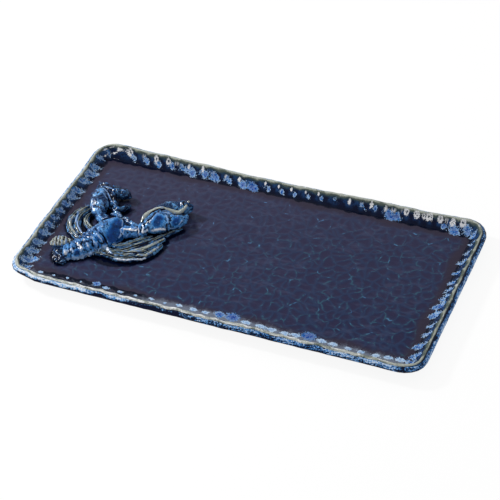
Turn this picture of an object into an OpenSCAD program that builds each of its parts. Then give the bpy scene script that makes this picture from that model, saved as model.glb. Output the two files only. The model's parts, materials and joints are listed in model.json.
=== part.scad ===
// Lobster platter: a low rectangular stoneware serving platter in dark blue reactive glaze.
// A slab carries a turned-up rim pressed with slanting notches, and a lobster lies in one end.
// The pieces are the pieces of clay that a potter forms and joins. Units are millimetres.
// X runs along the platter, Y to its back and Z up, from the middle of the face that it rests on.

/* [Platter] */
// Overall length, over the lip
platter_l = 356; // [300:2:440]
// Overall width, over the lip
platter_w = 178; // [170:2:240]
// Radius of the platter's corners, at the lip
corner_r = 18; // [16:1:30]
// Thickness of the slab
slab_t = 7; // [5:0.5:10]
// Seam of slip between the slab and the rim
seam = 0.05; // [0.02:0.01:0.2]

/* [Rim] */
// Rise of the crest above the well's floor
well_d = 8; // [6:0.5:14]
// Width of the rim, from the lip to the well's floor
rim_w = 13.4; // [12:0.2:15]
// Distance of the crest from the lip
crest_in = 4.4; // [3:0.2:5]
// Drop from the crest to the lip
lip_drop = 4.5; // [3:0.1:6]
// Width of the crest
crest_w = 2.4; // [1.6:0.2:3]
// Number of notches round the rim
notches = 92; // [60:2:110]
// Depth of a notch
notch_depth = 1.7; // [0.5:0.1:2.2]
// How far a notch slants along the rim on its way down
notch_slant = 7; // [0:0.5:10]

/* [Lobster's body] */
// Distance of the back edge of the lobster's shell from the platter's end
lobster_in = 57; // [56:1:200]
// Distance of the back edge of the lobster's shell from the platter's front
lobster_up = 64; // [62:1:80]
// Direction that the lobster faces
lobster_turn = 64; // [56:1:80]
// Length of the back shell
carapace_l = 26; // [22:1:30]
// Width of the back shell
carapace_w = 27; // [24:1:30]
// Height of the back shell
carapace_h = 14; // [12:0.5:17]
// Length of the tail's six rings
abdomen_l = 32; // [28:1:34]
// Width of the tail where it ends
abdomen_end_w = 18; // [15:1:20]
// Height of the tail where it ends
abdomen_end_h = 9; // [7:0.5:11]
// How far the tail curls to one side
abdomen_bend = 48; // [36:2:56]
// Length of the tail fan's lobes
fan_l = 12; // [9:0.5:14]
// Width of the tail fan's lobes
fan_w = 8.5; // [7:0.5:10]
// Thickness of the tail fan's lobes
fan_t = 4.5; // [3:0.5:6]
// Thickness of the tail fan's curled outer lobe
fan_curl_t = 11; // [7:0.5:12]

/* [Lobster's claws] */
// Thickness of the arms
arm_d = 9.5; // [8:0.5:11]
// Length of the right arm
right_arm_l = 19; // [16:0.5:21]
// Length of the right palm
right_palm_l = 23; // [20:1:26]
// Width of the right palm
right_palm_w = 24; // [20:1:26]
// Thickness of the right palm
right_palm_t = 16; // [13:0.5:17]
// Reach of the right claw's fixed finger
right_finger_l = 27; // [22:1:29]
// Reach of the right claw's moving finger
right_thumb_l = 20; // [16:1:22]
// Length of the left arm
left_arm_l = 17; // [15:0.5:19]
// Length of the left wrist
left_wrist_l = 31; // [27:1:33]
// Width of the left wrist
left_wrist_w = 16; // [13:0.5:17]
// Length of the left palm
left_palm_l = 32; // [28:1:34]
// Width of the left palm
left_palm_w = 15; // [13:0.5:16]
// Reach of the left claw's fixed finger
left_finger_l = 16; // [13:1:18]
// Reach of the left claw's moving finger
left_thumb_l = 12; // [9:1:13]

/* [Lobster's legs and feelers] */
// Thickness of the walking legs
leg_d = 4.6; // [3.6:0.2:5]
// Thickness of the feelers
antenna_d = 4.4; // [3.4:0.2:5]

/* [Hidden] */
segments = 6;
$fn = 64;

glaze_dark = "#2b3350";
glaze_blue = "#2f5f9e";
glaze_pale = "#8fb0cf";
glaze_cream = "#b9b7a4";

// Rim: a closed profile carried round the crest's line
crest_z = slab_t + well_d;
lip_z = crest_z - lip_drop;
crest_r = corner_r - crest_in;
side_x = platter_l - 2 * corner_r;
side_y = platter_w - 2 * corner_r;
quarter = PI / 2 * crest_r;
half_round = side_x + side_y + 2 * quarter;
slope_from = crest_in + crest_w / 2;
slope_w = rim_w - slope_from;

// Shares of a notch's length along the rim, with the share of its depth that is pressed in there
notch_shape = [[0, 0], [0.22, 0.75], [0.5, 1], [0.78, 0.35]];

// Rim profile as [inset from the lip, height, share of the notch's depth, share of its slant]
rim_profile = [
    [rim_w, 0, 0, 0],
    [rim_w * 0.5, lip_z * 0.42, 0, 0],
    [rim_w * 0.1, lip_z * 0.8, 0, 0],
    [0, lip_z, 0, 0],
    [crest_in * 0.35, lip_z + lip_drop * 0.3, 0, 0],
    [crest_in - crest_w * 0.5, lip_z + lip_drop * 0.5, 0, 0],
    [crest_in - crest_w * 0.4, crest_z - lip_drop * 0.12, 0, 0],
    [crest_in, crest_z, 0.1, 0],
    [slope_from, crest_z - well_d * 0.07, 0.5, 0.06],
    [slope_from + slope_w * 0.35, crest_z - well_d * 0.42, 1, 0.4],
    [slope_from + slope_w * 0.7, crest_z - well_d * 0.8, 0.7, 0.8],
    [rim_w, slab_t, 0, 1]
];

// Point of the crest's line and its outward direction, by the distance along it, clockwise from above
function corner(x, y, a) = [[x, y] + crest_r * [cos(a), sin(a)], [cos(a), sin(a)]];
function first_half(s) = let (t = s - side_x - quarter)
    s < side_x ? [[s - side_x / 2, side_y / 2 + crest_r], [0, 1]] :
    t < 0 ? corner(side_x / 2, side_y / 2, -90 * t / quarter) :
    t < side_y ? [[side_x / 2 + crest_r, side_y / 2 - t], [1, 0]] :
    corner(side_x / 2, -side_y / 2, -90 * (t - side_y) / quarter);
function crest_line(s) = let (t = s % (2 * half_round))
    t < half_round ? first_half(t) : -first_half(t - half_round);
function rim_point(row, turns, bite) = let (
        at = crest_line(turns * 2 * half_round + row[3] * notch_slant),
        press = row[2] * bite * notch_depth,
        spot = at[0] - (row[0] - crest_in - press) * at[1])
    [spot.x, spot.y, row[1] - press / 2];

// Unit vector, step across the floor, and smooth curve through rows of numbers at t from 0 to 1
function unit(v) = v / norm(v);
function step(l, a, z = 0) = [l * cos(a), l * sin(a), z];
function curve_at(rows, t) = let (
        n = len(rows) - 1,
        i = min(floor(t * n), n - 1),
        f = t * n - i,
        a = rows[max(i - 1, 0)],
        b = rows[i],
        c = rows[i + 1],
        d = rows[min(i + 2, n)])
    b + (c - a) / 2 * f + (a - 2.5 * b + 2 * c - d / 2) * f ^ 2 + (1.5 * (b - c) + (d - a) / 2) * f ^ 3;

// Round section of a row [x, y, z, half width, half height], square to the way that it faces
limb_sides = 10;
function round_section(row, facing) = let (
        side = unit(cross([0, 0, 1], facing)),
        up = cross(unit(facing), side))
    [for (k = [0:limb_sides - 1]) let (a = 360 * k / limb_sides)
        [row[0], row[1], row[2]] + side * row[3] * cos(a) + up * row[4] * sin(a)];

// Arched section of a row [x, y, half width, height], tucked in where it meets the floor
arch_sides = 11;
arch_lift = 0.22;
arch_from = -asin(arch_lift / (1 - arch_lift));
function arch_section(row, heading) = [for (k = [0:arch_sides - 1]) let (
        a = arch_from + (180 - 2 * arch_from) * k / (arch_sides - 1),
        out = row[2] * cos(a),
        up = arch_lift + (1 - arch_lift) * sin(a))
    [row[0] - out * sin(heading), row[1] + out * cos(heading), row[3] * max(0, up)]];

// Skin over a list of sections that have as many points each, closed at both ends
module skin(sections) {
    n = len(sections[0]);
    last = len(sections) - 1;
    function middle(s) = [for (p = s) 1] * s / n;
    polyhedron(
        points = concat([for (s = sections) each s], [middle(sections[0]), middle(sections[last])]),
        faces = concat(
            [for (i = [0:last - 1], k = [0:n - 1]) each let (a = i * n + k, b = i * n + (k + 1) % n)
                [[a, a + n, b + n], [a, b + n, b]]],
            [for (k = [0:n - 1]) [(last + 1) * n, k, (k + 1) % n]],
            [for (k = [0:n - 1]) [(last + 1) * n + 1, last * n + (k + 1) % n, last * n + k]]
        )
    );
}

// Rounded limb along rows [x, y, z, half width, half height]
limb_rings = 12;
module limb(rows) {
    look = 0.02;
    function place(t) = let (r = curve_at(rows, t)) [r[0], r[1], r[2]];
    skin([for (i = [0:limb_rings]) let (t = i / limb_rings)
        round_section(curve_at(rows, t), place(min(t + look, 1)) - place(max(t - look, 0)))]);
}

// Rows of a straight limb, from shares of its length with shares of its width and thickness
function straight(from, to, shares, w, t) = [for (s = shares) let (p = from + s[0] * (to - from))
    [p.x, p.y, p.z, s[1] * w / 2, s[2] * t / 2]];
rounded = [[0, 0.4, 0.4], [0.15, 0.9, 0.9], [0.5, 1, 1], [0.85, 0.9, 0.9], [1, 0.4, 0.4]];

// The lobster's own frame: X to its head, Y to its left and Z up from the well's floor
module on_floor() {
    place = [lobster_in - platter_l / 2, lobster_up - platter_w / 2, slab_t];
    translate(place) rotate(lobster_turn) children();
}

// A piece of the lobster: the first child, less the floor and the pieces that it is pressed against
module pressed(glaze) {
    color(glaze) on_floor() difference() {
        children(0);
        if ($children > 1) children([1:$children - 1]);
        translate([-platter_l, -platter_l, -slab_t]) cube([2 * platter_l, 2 * platter_l, slab_t]);
    }
}

// Tail: its line curls more and more towards its end, and its rings narrow to the end's size
tail_steps = 24;
tail_fit = 0.95;
function tail_heading(s) = -abdomen_bend * (s / abdomen_l) ^ 2;
function tail_place(s) = s <= 0 ? [0, 0] : let (d = s / tail_steps)
    [for (i = [1:tail_steps]) 1] *
    [for (i = [1:tail_steps]) let (a = tail_heading((i - 0.5) * d)) -d * [cos(a), sin(a)]];
function tail_row(s, swell) = let (p = tail_place(s), t = s / abdomen_l)
    [p.x, p.y, swell * tail_fit * (carapace_w * (1 - t) + abdomen_end_w * t) / 2,
        swell * tail_fit * (carapace_h * (1 - t) + abdomen_end_h * t)];
tail_end = tail_place(abdomen_l);
tail_out = 180 + tail_heading(abdomen_l);

// Claws: each piece starts where the one before it ends
arm_z = arm_d * 0.55;
right_shoulder = [carapace_l * 0.54, -carapace_w * 0.26, arm_z];
right_elbow = right_shoulder + step(right_arm_l, -41);
right_heading = -14;
right_palm_z = right_palm_t * 0.56;
right_palm_from = [right_elbow.x, right_elbow.y, right_palm_z - 2] + step(arm_d * 0.2, right_heading);
right_knuckle = right_palm_from + step(right_palm_l, right_heading, 2);
left_shoulder = [carapace_l * 0.54, carapace_w * 0.28, arm_z];
left_elbow = left_shoulder + step(left_arm_l, 80);
left_wrist_turn = 47;
left_wrist_from = left_elbow - step(arm_d * 0.2, left_wrist_turn);
left_wrist_z = left_wrist_w * 0.45;
left_wrist_to = left_wrist_from + step(left_wrist_l, left_wrist_turn);
left_heading = -105;
left_palm_t = left_palm_w * 0.85;
left_palm_from = [left_wrist_to.x, left_wrist_to.y, left_wrist_z] + step(left_palm_w * 0.4, 58);

// Hand frames: X along the palm from its knuckle or its heel, on the floor
module right_hand() { translate([right_knuckle.x, right_knuckle.y, 0]) rotate(right_heading) children(); }
module left_hand() { translate([left_palm_from.x, left_palm_from.y, 0]) rotate(left_heading) children(); }

// Whole shapes of the pieces, before they are pressed together
module carapace_shape() {
    shares = [[0, 0.92, 0.92], [0.3, 1, 1], [0.6, 0.93, 0.98],
        [0.85, 0.62, 0.8], [0.97, 0.3, 0.55], [1, 0.1, 0.4]];
    rows = [for (s = shares) [s[0] * carapace_l, 0, s[1] * carapace_w / 2, s[2] * carapace_h]];
    skin([for (i = [0:limb_rings]) arch_section(curve_at(rows, i / limb_rings), 0)]);
}

module abdomen_shape(i) {
    bands = [[1, 0.95], [0.75, 1], [0.3, 0.97], [0, 0.9]];
    skin([for (b = bands) let (s = (i - 1 + b[0]) * abdomen_l / segments)
        arch_section(tail_row(s, b[1]), tail_heading(s))]);
}

// The body's piece that a leg is rooted in: the back shell, or a ring of the tail
module body_shape(i) {
    if (i == 0) carapace_shape();
    else abdomen_shape(i);
}

// Tail fan lobes as [turn from the tail's line, share of the length, thickness]
fan_lobes = [
    [0, 0.8, fan_t],
    [30, 0.8, fan_t],
    [58, 0.7, fan_t],
    [-28, 0.85, fan_t],
    [-50, 1.1, fan_curl_t]
];
module fan_shape(i) {
    lobe = fan_lobes[i];
    out = tail_out + lobe[0];
    across = step(sin(lobe[0]) * abdomen_end_w * 0.28, tail_out + 90);
    root = [tail_end.x, tail_end.y, lobe[2] * 0.48] + across - step(fan_l * 0.15, out);
    shares = [[0, 0.45, 0.7], [0.3, 0.8, 0.95], [0.65, 1.1, 1], [0.9, 0.85, 0.8], [1, 0.35, 0.4]];
    wide = lobe[2] > fan_t ? fan_w * 1.3 : fan_w;
    limb(straight(root, root + step(fan_l * (lobe[1] + 0.15), out), shares, wide, lobe[2]));
}

module right_arm_shape() { limb(straight(right_shoulder, right_elbow, rounded, arm_d, arm_d)); }

module right_wrist_shape() {
    from = [right_elbow.x, right_elbow.y, arm_z + 1] - step(arm_d * 0.25, -30);
    limb(straight(from, from + step(arm_d * 0.75, -30), rounded, arm_d * 1.15, arm_d * 1.15));
}

module right_palm_shape() {
    shares = [[0, 0.3, 0.5], [0.25, 0.66, 0.85], [0.6, 0.98, 1], [0.85, 1, 0.95], [1, 0.8, 0.75]];
    limb(straight(right_palm_from, right_knuckle, shares, right_palm_w, right_palm_t));
}

// Fingers as [share of the reach, share of the palm's half width to the left, rise, half width, half height]
function finger(shares, from, reach, w, z, t) = [for (s = shares)
    [from + s[0] * reach, s[1] * w / 2, z + s[2] * t, s[3] * w / 2, s[4] * t / 2]];

module right_fixed_finger_shape() {
    shares = [[0, 0.78, -0.04, 0.42, 0.75], [0.26, 0.95, -0.06, 0.52, 0.75], [0.54, 0.88, -0.08, 0.5, 0.7],
        [0.76, 0.62, -0.08, 0.45, 0.7], [0.92, 0.3, 0, 0.36, 0.75], [1, 0.17, 0.16, 0.16, 0.45]];
    from = -right_palm_l * 0.26;
    right_hand() limb(finger(shares, from, right_finger_l, right_palm_w, right_palm_z, right_palm_t));
}

module right_moving_finger_shape() {
    shares = [[0, -0.3, -0.03, 0.42, 0.7], [0.2, -0.47, -0.05, 0.5, 0.75], [0.48, -0.62, -0.08, 0.48, 0.68],
        [0.76, -0.58, -0.12, 0.34, 0.5], [1, -0.4, -0.14, 0.1, 0.2]];
    from = -right_palm_l * 0.22;
    right_hand() limb(finger(shares, from, right_thumb_l, right_palm_w, right_palm_z, right_palm_t));
}

module left_arm_shape() { limb(straight(left_shoulder, left_elbow, rounded, arm_d * 0.9, arm_d * 0.9)); }

module left_wrist_shape() {
    shares = [[0, 0.55, 0.6], [0.25, 0.95, 0.95], [0.55, 1, 1], [0.82, 0.85, 0.9], [1, 0.35, 0.45]];
    lift = [0, 0, left_wrist_z - arm_z];
    limb(straight(left_wrist_from + lift, left_wrist_to + lift, shares, left_wrist_w, left_wrist_w * 0.85));
}

module left_palm_shape() {
    shares = [[0, 0.35, 0.45], [0.15, 0.8, 0.85], [0.45, 1, 1], [0.75, 0.75, 0.8], [1, 0.3, 0.4]];
    to = left_palm_from + step(left_palm_l, left_heading, -left_wrist_z * 0.35);
    limb(straight(left_palm_from, to, shares, left_palm_w, left_palm_t));
}

module left_fixed_finger_shape() {
    shares = [[0, 0.3, 0.04, 0.5, 0.6], [0.25, 0.75, 0.05, 0.66, 0.75], [0.55, 1.35, 0, 0.7, 0.75],
        [0.82, 1.85, -0.06, 0.6, 0.65], [1, 2.05, -0.1, 0.25, 0.3]];
    from = left_palm_l * 0.3;
    left_hand() limb(finger(shares, from, left_finger_l, left_palm_w, left_wrist_z, left_palm_t));
}

module left_moving_finger_shape() {
    tip = left_palm_l + 2;
    z = left_palm_w * 0.24;
    rows = [[tip - 6, -2, z, 2.6, 3], [tip - 1, 0, z, 2.8, 2.8], [tip + 1, left_thumb_l * 0.45, z, 2.5, 2.5],
        [tip, left_thumb_l * 0.8, z, 1.9, 2], [tip - 0.5, left_thumb_l, z, 0.8, 0.9]];
    left_hand() limb(rows);
}

// Walking legs as [along the body, out from its flank], each rooted in one piece of the body
right_legs = [
    [[3.5, -5], [4, 3.5], [12, 8.5], [22, 12], [31, 14.5]],
    [[-2.7, -5], [-1.5, 6.5], [8, 13.6], [24, 19], [40, 21.2], [56, 24.5]],
    [[-8, -5], [-7, 8], [1, 17.8], [15, 24.6], [28, 25.7], [38, 26]],
    [[-14, -4.5], [-12.5, 8], [-4.5, 20.2], [9.5, 29.4], [22, 30.8], [33, 30]]
];
left_legs = [
    [[2.8, -6], [2.5, 3.5], [5, 12.5], [10.5, 17], [16, 17]],
    [[-7.6, -5], [-6.8, 6], [-1.5, 16.6], [6.5, 21.6], [18, 22]],
    [[-12, -4.5], [-12.2, 6], [-7.5, 19.7], [2, 26.8], [11, 28.2], [20, 27.2]]
];
leg_z = leg_d * 0.45;
module leg_shape(points, side) {
    last = len(points) - 1;
    limb([for (i = [0:last]) let (p = points[i], fine = i == 0 ? 0.65 : i == last ? 0.45 : 1)
        [p.x, side * (carapace_w / 2 + p.y), leg_z, fine * leg_d / 2, fine * leg_d / 2]]);
}
module right_leg_shape(i) { leg_shape(right_legs[i - 1], -1); }
module left_leg_shape(i) { leg_shape(left_legs[i - 1], 1); }

// Feelers, from the snout, as [ahead of the snout's end, to the left, share of the shell's height]
module antenna_shape(points) {
    last = len(points) - 1;
    limb([for (i = [0:last]) let (p = points[i], fine = i == last ? 0.4 : 1)
        [carapace_l + p.x, p.y, p.z * carapace_h, fine * antenna_d / 2, fine * antenna_d / 2]]);
}

module right_antenna_shape() {
    antenna_shape([[-5, 0, 0.55], [0, -1.5, 0.62], [0, -9, 0.64], [1.5, -15, 0.62], [6, -17.5, 0.58]]);
}
module left_antenna_shape() {
    antenna_shape([[-6, 1, 0.6], [-2, 3.5, 0.7], [-1, 8, 0.72], [-3.5, 12, 0.62]]);
}

module base_slab() {
    inner = rim_w + seam;
    color(glaze_dark) linear_extrude(slab_t)
        rounded_plate(platter_l - 2 * inner, platter_w - 2 * inner, corner_r - inner);
}

module rounded_plate(l, w, r) {
    square([l - 2 * r, w], center = true);
    square([l, w - 2 * r], center = true);
    for (x = [-1, 1], y = [-1, 1]) translate([x * (l / 2 - r), y * (w / 2 - r)]) circle(r);
}

module rim_band() {
    rows = len(rim_profile);
    stations = notches * len(notch_shape);
    color(glaze_cream) polyhedron(
        points = [for (i = [0:notches - 1], n = notch_shape, row = rim_profile)
            rim_point(row, (i + n[0]) / notches, n[1])],
        faces = [for (i = [0:stations - 1], k = [0:rows - 1]) each let (
                a = i * rows + k,
                b = i * rows + (k + 1) % rows,
                c = (i + 1) % stations * rows + k,
                d = (i + 1) % stations * rows + (k + 1) % rows)
            [[a, c, d], [a, d, b]]]
    );
}

module carapace() { color(glaze_blue) on_floor() carapace_shape(); }
module abdomen_segment(i) { color(glaze_blue) on_floor() abdomen_shape(i); }

module tail_fan_middle() {
    pressed(glaze_pale) {
        fan_shape(0);
        abdomen_shape(segments);
    }
}
module tail_fan_right_inner() {
    pressed(glaze_pale) {
        fan_shape(1);
        fan_shape(0);
        abdomen_shape(segments);
    }
}
module tail_fan_right_outer() {
    pressed(glaze_pale) {
        fan_shape(2);
        fan_shape(1);
        fan_shape(0);
        abdomen_shape(segments);
    }
}
module tail_fan_left_inner() {
    pressed(glaze_pale) {
        fan_shape(3);
        fan_shape(0);
        abdomen_shape(segments);
    }
}
module tail_fan_left_outer() {
    pressed(glaze_pale) {
        fan_shape(4);
        fan_shape(3);
        fan_shape(0);
        abdomen_shape(segments);
    }
}

module right_arm() {
    pressed(glaze_blue) {
        right_arm_shape();
        carapace_shape();
    }
}
module right_wrist() {
    pressed(glaze_blue) {
        right_wrist_shape();
        right_arm_shape();
    }
}
module right_palm() {
    pressed(glaze_blue) {
        right_palm_shape();
        right_wrist_shape();
        right_arm_shape();
    }
}
module right_fixed_finger() {
    pressed(glaze_cream) {
        right_fixed_finger_shape();
        right_palm_shape();
    }
}
module right_moving_finger() {
    pressed(glaze_blue) {
        right_moving_finger_shape();
        right_fixed_finger_shape();
        right_palm_shape();
    }
}
module left_arm() {
    pressed(glaze_blue) {
        left_arm_shape();
        carapace_shape();
    }
}
module left_wrist() {
    pressed(glaze_pale) {
        left_wrist_shape();
        left_arm_shape();
        carapace_shape();
    }
}
module left_palm() {
    pressed(glaze_blue) {
        left_palm_shape();
        left_wrist_shape();
    }
}
module left_fixed_finger() {
    pressed(glaze_blue) {
        left_fixed_finger_shape();
        left_palm_shape();
        left_wrist_shape();
    }
}
module left_moving_finger() {
    pressed(glaze_cream) {
        left_moving_finger_shape();
        left_palm_shape();
        left_wrist_shape();
    }
}

module right_leg(i) {
    pressed(glaze_cream) {
        right_leg_shape(i);
        body_shape(i - 1);
    }
}
module left_leg(i) {
    pressed(glaze_cream) {
        left_leg_shape(i);
        body_shape(i == 1 ? 0 : i);
    }
}

module right_antenna() {
    pressed(glaze_pale) {
        right_antenna_shape();
        carapace_shape();
        right_arm_shape();
        right_wrist_shape();
        right_palm_shape();
    }
}
module left_antenna() {
    pressed(glaze_pale) {
        left_antenna_shape();
        carapace_shape();
        right_antenna_shape();
    }
}

base_slab();
rim_band();
carapace();
for (i = [1:segments]) abdomen_segment(i);
tail_fan_middle();
tail_fan_right_inner();
tail_fan_right_outer();
tail_fan_left_inner();
tail_fan_left_outer();
right_arm();
right_wrist();
right_palm();
right_fixed_finger();
right_moving_finger();
left_arm();
left_wrist();
left_palm();
left_fixed_finger();
left_moving_finger();
for (i = [1:4]) right_leg(i);
for (i = [1:3]) left_leg(i);
right_antenna();
left_antenna();
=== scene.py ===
"""Lobster platter in blue reactive glaze: the visible pieces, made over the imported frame.

Laid out as an add-on and run as a script. Blender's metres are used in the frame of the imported
model; the shapes of the rim and the lobster are written in millimetres.
"""

import json
import math

import bpy
import numpy as np
from mathutils import Matrix, Vector
from mathutils.bvhtree import BVHTree

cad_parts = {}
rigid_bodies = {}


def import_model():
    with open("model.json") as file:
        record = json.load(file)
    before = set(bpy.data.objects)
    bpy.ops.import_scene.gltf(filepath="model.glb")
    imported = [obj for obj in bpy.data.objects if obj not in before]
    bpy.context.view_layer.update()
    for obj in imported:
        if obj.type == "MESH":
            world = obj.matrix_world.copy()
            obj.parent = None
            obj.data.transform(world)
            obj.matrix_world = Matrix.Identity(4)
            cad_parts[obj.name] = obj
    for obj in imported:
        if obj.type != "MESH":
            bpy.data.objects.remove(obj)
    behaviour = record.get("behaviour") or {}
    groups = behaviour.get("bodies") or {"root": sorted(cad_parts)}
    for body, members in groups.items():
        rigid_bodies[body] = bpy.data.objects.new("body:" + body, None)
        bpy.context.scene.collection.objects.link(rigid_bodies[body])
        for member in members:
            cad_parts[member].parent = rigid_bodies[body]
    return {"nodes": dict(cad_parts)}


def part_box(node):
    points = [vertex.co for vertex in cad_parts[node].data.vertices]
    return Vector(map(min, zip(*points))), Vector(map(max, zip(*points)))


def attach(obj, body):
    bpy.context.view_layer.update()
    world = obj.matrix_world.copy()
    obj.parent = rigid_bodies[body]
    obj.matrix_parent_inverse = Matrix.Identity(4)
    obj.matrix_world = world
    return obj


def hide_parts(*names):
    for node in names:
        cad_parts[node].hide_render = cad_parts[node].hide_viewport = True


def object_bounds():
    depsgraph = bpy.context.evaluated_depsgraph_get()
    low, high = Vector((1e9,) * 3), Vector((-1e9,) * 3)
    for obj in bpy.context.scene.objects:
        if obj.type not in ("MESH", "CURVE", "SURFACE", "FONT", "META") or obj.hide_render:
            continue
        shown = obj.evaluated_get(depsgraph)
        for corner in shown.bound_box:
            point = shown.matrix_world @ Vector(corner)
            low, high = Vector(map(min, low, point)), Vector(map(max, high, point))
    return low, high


bl_info = {
    "name": "Lobster Platter",
    "version": (1, 0, 0),
    "blender": (4, 5, 0),
    "location": "3D View > Sidebar > Platter",
    "description": "Notched platter with a modelled lobster in blue reactive glaze",
    "category": "Object",
}

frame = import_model()
CAD_LOW, CAD_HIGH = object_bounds()
SLAB_LOW, SLAB_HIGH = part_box("base_slab")
MM = 0.001

# Rim profile from the inner lower edge round the outside to the well: inset from the platter's
# edge and height, both in mm.
PROFILE = [
    (13.4, 0.0), (10.6, 2.6), (7.2, 5.1), (4.0, 7.3), (1.8, 8.9), (0.5, 9.8), (0.02, 10.7),
    (0.35, 11.6), (0.9, 12.6), (1.8, 13.3), (2.6, 13.5), (3.05, 14.1), (3.6, 14.7), (4.4, 15.0),
    (5.2, 14.75), (5.9, 14.05), (7.0, 12.9), (8.6, 11.2), (10.2, 9.5), (11.5, 8.2), (12.5, 7.4),
    (13.4, 7.0),
]

# Places on the profile: the foot's and the slope's inset in mm, and rows of the outermost lip, the
# crest's outer foot, the crest and the inner slope, by their number in PROFILE.
RIM_FOOT, SLOPE_TOP = PROFILE[-1][0], 5.6
LIP_ROW, CREST_FOOT, CREST_ROW, INNER_ROW = 6, 11.5, 13, 14.2

# Stretches of the rim by place along it, clockwise from the back left: where each fades in, from
# and to, and where it fades out (mm).
FRONT_RIM = (486, 506, 832, 852)
FRONT_FLOOR = (500, 520, 812, 832)
RIGHT_RIM = (330, 350, 480, 500)
THICK_CORNER = (684, 694, 826, 838)

# Pools of pale glaze caught in the notches: place along the rim, inset, half length along the
# rim, half length down the slope (mm) and tone, where 1 is cobalt and below 0 is nearly white.
BACK_POOLS = [
    (17.5, 9.8, 2.6, 2.2, .4), (30, 9.9, 2.9, 2.4, .4), (42, 10.4, 2.9, 2.5, .4),
    (55, 9.9, 2.8, 2.5, .45), (65, 9.5, 2.7, 2.5, .45), (74.5, 10.9, 3.9, 3.4, .5),
    (86.5, 10.5, 3.2, 2.9, .5), (96, 10.7, 4.0, 3.4, .6), (108.5, 10.4, 2.9, 2.8, .5),
    (122.5, 11.6, 4.0, 3.2, .55), (132, 11.9, 4.6, 3.8, 1.0), (145, 10.6, 2.4, 2.2, .4),
    (157.8, 10.6, 2.4, 2.2, .4), (169.2, 10.7, 2.1, 2.0, .35), (182.2, 10.7, 1.9, 1.9, .35),
    (193.5, 9.9, 1.8, 1.8, .35), (206.5, 9.2, 1.7, 1.7, .35), (230.2, 9.6, 2.0, 2.2, .45),
    (240.8, 9.2, 2.0, 2.2, .45), (254, 11.3, 4.2, 3.6, .8), (260.5, 10.8, 3.2, 3.0, .6),
    (299.8, 10.9, 2.0, 2.0, .5), (309.5, 12.3, 4.8, 3.6, .55), (321.5, 10.9, 4.4, 3.6, .5),
]
RIGHT_POOLS = [
    (333, 11.2, 3.4, 3.4, .4), (345, 10.6, 2.2, 2.8, .35), (357, 10.8, 2.2, 2.8, .35),
    (368.5, 11.2, 2.5, 3.3, .35), (381.5, 11.0, 2.4, 3.1, .4), (393.5, 11.2, 2.5, 3.3, .35),
    (403, 11.2, 2.4, 3.2, .3), (412, 11.4, 2.5, 3.4, .3), (422, 12.4, 3.5, 4.6, .35),
    (432.5, 12.4, 3.5, 4.6, .3), (444, 11.3, 2.4, 3.3, .35), (454, 11.4, 2.5, 3.4, .35),
    (467.5, 12.4, 3.4, 4.6, .35), (478.5, 12.0, 2.8, 4.0, .4),
]
FRONT_POOLS = [
    (489, 13.5, 3.4, 4.2, 0.4), (498, 14.4, 3.1, 2.4, -0.5), (508, 15.9, 4, 2.2, -0.5),
    (517.5, 15.1, 3.6, 1.9, -0.5), (527, 14.1, 3.4, 1.8, -0.5), (538.5, 14.1, 3.2, 1.6, -0.5),
    (549, 14.3, 2.9, 1.5, -0.5), (561.5, 14.9, 3.8, 1.9, -0.5), (571, 15.3, 4, 2, -0.5),
    (582, 17, 6, 4, 1), (592, 14.7, 4.1, 1.9, -0.5), (600.5, 14.1, 3.2, 1.6, -0.5),
    (611.5, 14.3, 4, 1.8, -0.5), (621, 14.9, 4.1, 1.9, -0.5), (633.5, 15.1, 4.1, 2, -0.5),
    (646, 17.2, 5.8, 4, 0.9), (656.5, 16.6, 4.4, 3.2, 0.5), (668, 15.1, 3.1, 1.6, -0.5),
    (678.5, 15.2, 3.4, 1.8, -0.5), (691, 15.7, 2.7, 1.4, -0.5), (703, 14.5, 1.6, 1, -0.2),
    (715, 15.5, 2.3, 1.2, -0.2), (729, 14.7, 1.8, 1, -0.2), (742, 14.7, 2.5, 1.3, -0.2),
    (755.5, 15.1, 3.1, 1.5, -0.2), (765, 17, 3.6, 2.4, 0.7), (778, 14.9, 1.4, 0.9, -0.2),
    (791, 15.4, 1.6, 1, -0.2), (803, 14.9, 1.4, 0.9, -0.2), (815, 14.9, 2.2, 1.2, -0.2),
]
LEFT_POOLS = [
    (829, 12.6, 3.2, 4.8, .2), (842, 13.0, 3.6, 5.6, .2), (853, 12.4, 3.8, 6.4, .2),
    (862, 9.8, 3.2, 5.0, .3), (872.5, 9.4, 3.2, 5.0, .35), (884.5, 9.0, 3.0, 4.7, .35),
    (894.5, 8.8, 2.8, 4.5, .4), (904, 8.6, 2.4, 4.0, .5), (913.5, 8.6, 2.5, 4.2, .5),
    (923, 8.8, 2.7, 4.5, .45), (933, 9.1, 3.1, 4.9, .35), (942, 9.2, 3.3, 5.0, .35),
    (955.5, 9.2, 3.3, 5.0, .3), (966, 9.6, 3.4, 5.2, .3), (975.5, 9.2, 3.1, 4.9, .35),
    (988, 8.8, 2.5, 4.2, .5), (1000, 8.6, 2.1, 3.6, .6),
]
POOLS = BACK_POOLS + RIGHT_POOLS + FRONT_POOLS + LEFT_POOLS

# Stretch of the rim whose pools run straight out over the floor from the foot (mm).
FRONT_POOL_RUN = (486, 826)

# Notches on the back that hold no pool, by their place along the rim at the notches' own inset.
NOTCH_INSET = 9.5
BARE_NOTCHES = [220.6, 270, 279.5, 288.5]

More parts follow.
